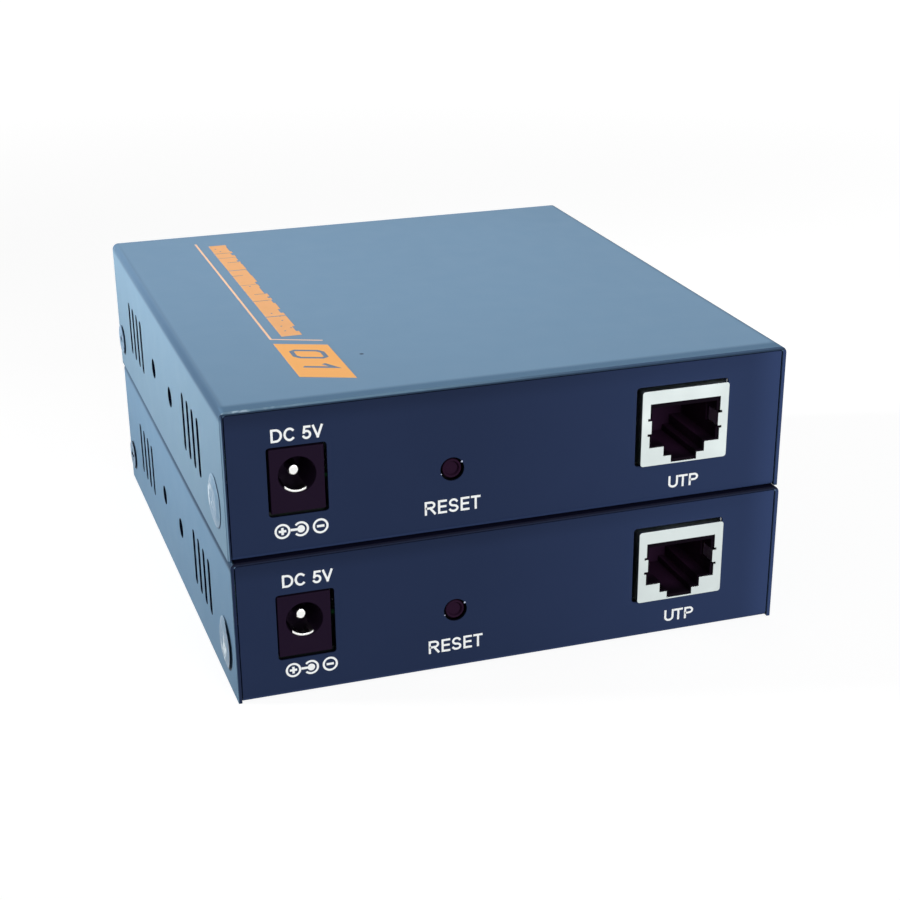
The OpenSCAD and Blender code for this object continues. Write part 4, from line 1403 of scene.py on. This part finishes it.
    def build(self) -> None:
        """Makes the prints."""
        shift = self.lower_shift if self.level is Level.RECEIVER else (0, 0)
        self.label("power_label", self.power_label, shift)
        self.label("reset_label", self.reset_label)
        self.label("network_label", self.network_label)
        self.strokes("polarity_label", Plane.FRONT, self.polarity(shift), WHITE_INK)
        # Painted glints on the rim of the reset button's hole
        self.strokes("reset_hole_chips", Plane.FRONT, self.glints(), GLINT_PAINT)
        if self.level is Level.TRANSMITTER:
            self.badge()


def hang(
    name: str, data: bpy.types.ID, right: Points, up: Points, place: Sequence[float]
) -> bpy.types.Object:
    """Adds a camera or a lamp.

    Args:
        name: Its name.
        data: Its data.
        right: Where its right side points.
        up: Where its upper side points.
        place: Its place in metres.

    Returns:
        The camera or lamp.
    """
    matrix = np.eye(4)
    matrix[:3, :3] = np.stack([right, up, np.cross(right, up)], 1)
    matrix[:3, 3] = place
    made = bpy.data.objects.new(name, data)
    made.matrix_world = Matrix(matrix.tolist())
    bpy.context.scene.collection.objects.link(made)
    return made


@dataclass(frozen=True)
class Lamp:
    """A square white lamp: place, aim and width in metres, power in watts, spread in degrees."""

    name: str
    place: tuple[float, float, float]
    aim: tuple[float, float, float]
    width: float
    power: float
    spread: float = 180.0

    def build(self) -> None:
        """Hangs the lamp, turned to its aim."""
        data = bpy.data.lights.new(self.name, "AREA")
        data.shape, data.size, data.energy = "SQUARE", self.width, self.power
        data.spread = math.radians(self.spread)
        back = np.subtract(self.place, self.aim)
        back /= np.linalg.norm(back)
        right = np.cross((0, 0, 1), back)
        right /= np.linalg.norm(right)
        hang(self.name, data, right, np.cross(back, right), self.place)


@dataclass(frozen=True)
class Studio:
    """Camera, floor, world and lamps."""

    camera_place: tuple[float, float, float] = (-95.840, -309.618, 145.387)
    right: tuple[float, float, float] = (0.94558591, -0.32534153, -0.00449156)
    up: tuple[float, float, float] = (0.13906531, 0.3916281, 0.90955388)
    lens: float = 71.151
    sensor: float = 36.0
    shift: tuple[float, float] = (-0.02222, 0.11111)
    clip: tuple[float, float] = (0.01, 20.0)
    lamps: tuple[Lamp, ...] = (
        Lamp("front", (0.3, -1.25, 0.35), (0.0, 0.0, 0.025), 0.8, 14.0),
        Lamp("left", (-0.65, 0.19, 0.29), (-0.05, 0.045, 0.205), 0.15, 0.86, 40.0),
    )
    floor_half: float = 4000.0
    floor_tones: tuple[float, float] = (0.15, 0.25)
    ambient: float = 0.27
    near_white: float = 0.87
    shadow_reach: tuple[float, float] = (0.25, 0.8)

    def camera(self) -> None:
        """Places the camera as the photograph's was fitted."""
        data = bpy.data.cameras.new("camera")
        data.lens, data.sensor_width = self.lens, self.sensor
        data.shift_x, data.shift_y = self.shift
        data.clip_start, data.clip_end = self.clip
        place = np.array(self.camera_place) * MM
        bpy.context.scene.camera = hang("camera", data, self.right, self.up, place)

    @staticmethod
    def seen(shader: Shader) -> Value:
        """Returns 1 for rays that come from the camera, a mirror or glass."""
        path = shader.node("ShaderNodeLightPath")
        seen = Value(shader, path.outputs["Is Camera Ray"])
        for name in ("Is Glossy Ray", "Is Transmission Ray"):
            seen = seen.most(Value(shader, path.outputs[name]))
        return seen

    def world(self) -> None:
        """Makes a white surround that lights the object only softly."""
        made = bpy.data.worlds.new("surround")
        bpy.context.scene.world = made
        made.use_nodes = True
        shader = Shader(made.node_tree)
        strength = self.seen(shader) * (1 - self.ambient) + self.ambient
        back = shader.node("ShaderNodeBackground", None, {"Color": (1.0, 1.0, 1.0), "Strength": strength})
        output = shader.node("ShaderNodeOutputWorld")
        shader.feed(output.inputs[0], back.outputs[0])

    def floor(self) -> None:
        """Makes a pale floor that shows white, and darker only in the object's shadow."""
        half = self.floor_half
        points = np.array([(-half, -half, 0), (half, -half, 0), (half, half, 0), (-half, half, 0)])
        mesh = bpy.data.meshes.new("floor")
        mesh.from_pydata((points * MM).tolist(), [], [(0, 1, 2, 3)])
        material = bpy.data.materials.new("floor_white")
        material.use_nodes = True
        shader = Shader(material.node_tree)
        seen = self.seen(shader)
        x, y, _ = shader.place()
        low, high = self.shadow_reach
        away = distance(x, y).rise(low / MM, high / MM)
        paint = shader.blend(seen, *((tone,) * 3 for tone in self.floor_tones))
        matt = shader.node("ShaderNodeBsdfDiffuse", None, {"Color": paint})
        glow = seen * (away * (1 - self.near_white) + self.near_white)
        grey = shader.blend(glow, (0.0, 0.0, 0.0), (1.0, 1.0, 1.0))
        white = shader.node("ShaderNodeEmission", None, {"Color": grey, "Strength": 1.0})
        both = shader.node("ShaderNodeAddShader", None, {0: matt.outputs[0], 1: white.outputs[0]})
        output = shader.node("ShaderNodeOutputMaterial")
        shader.feed(output.inputs["Surface"], both.outputs[0])
        mesh.materials.append(material)
        made = bpy.data.objects.new("floor", mesh)
        bpy.context.scene.collection.objects.link(made)

    def build(self) -> None:
        """Sets up the studio."""
        self.camera()
        self.world()
        self.floor()
        for lamp in self.lamps:
            lamp.build()
        bpy.context.scene.view_settings.view_transform = "Standard"


def main() -> None:
    """Builds both units and the studio."""
    logging.basicConfig(level=logging.INFO, format="%(message)s")
    Studio().build()
    for level in Level:
        for part in (Housing, NetworkJack, PowerJack, ResetSwitch, RearSockets, Board, Prints):
            part(level).build()


if __name__ == "__main__":
    main()
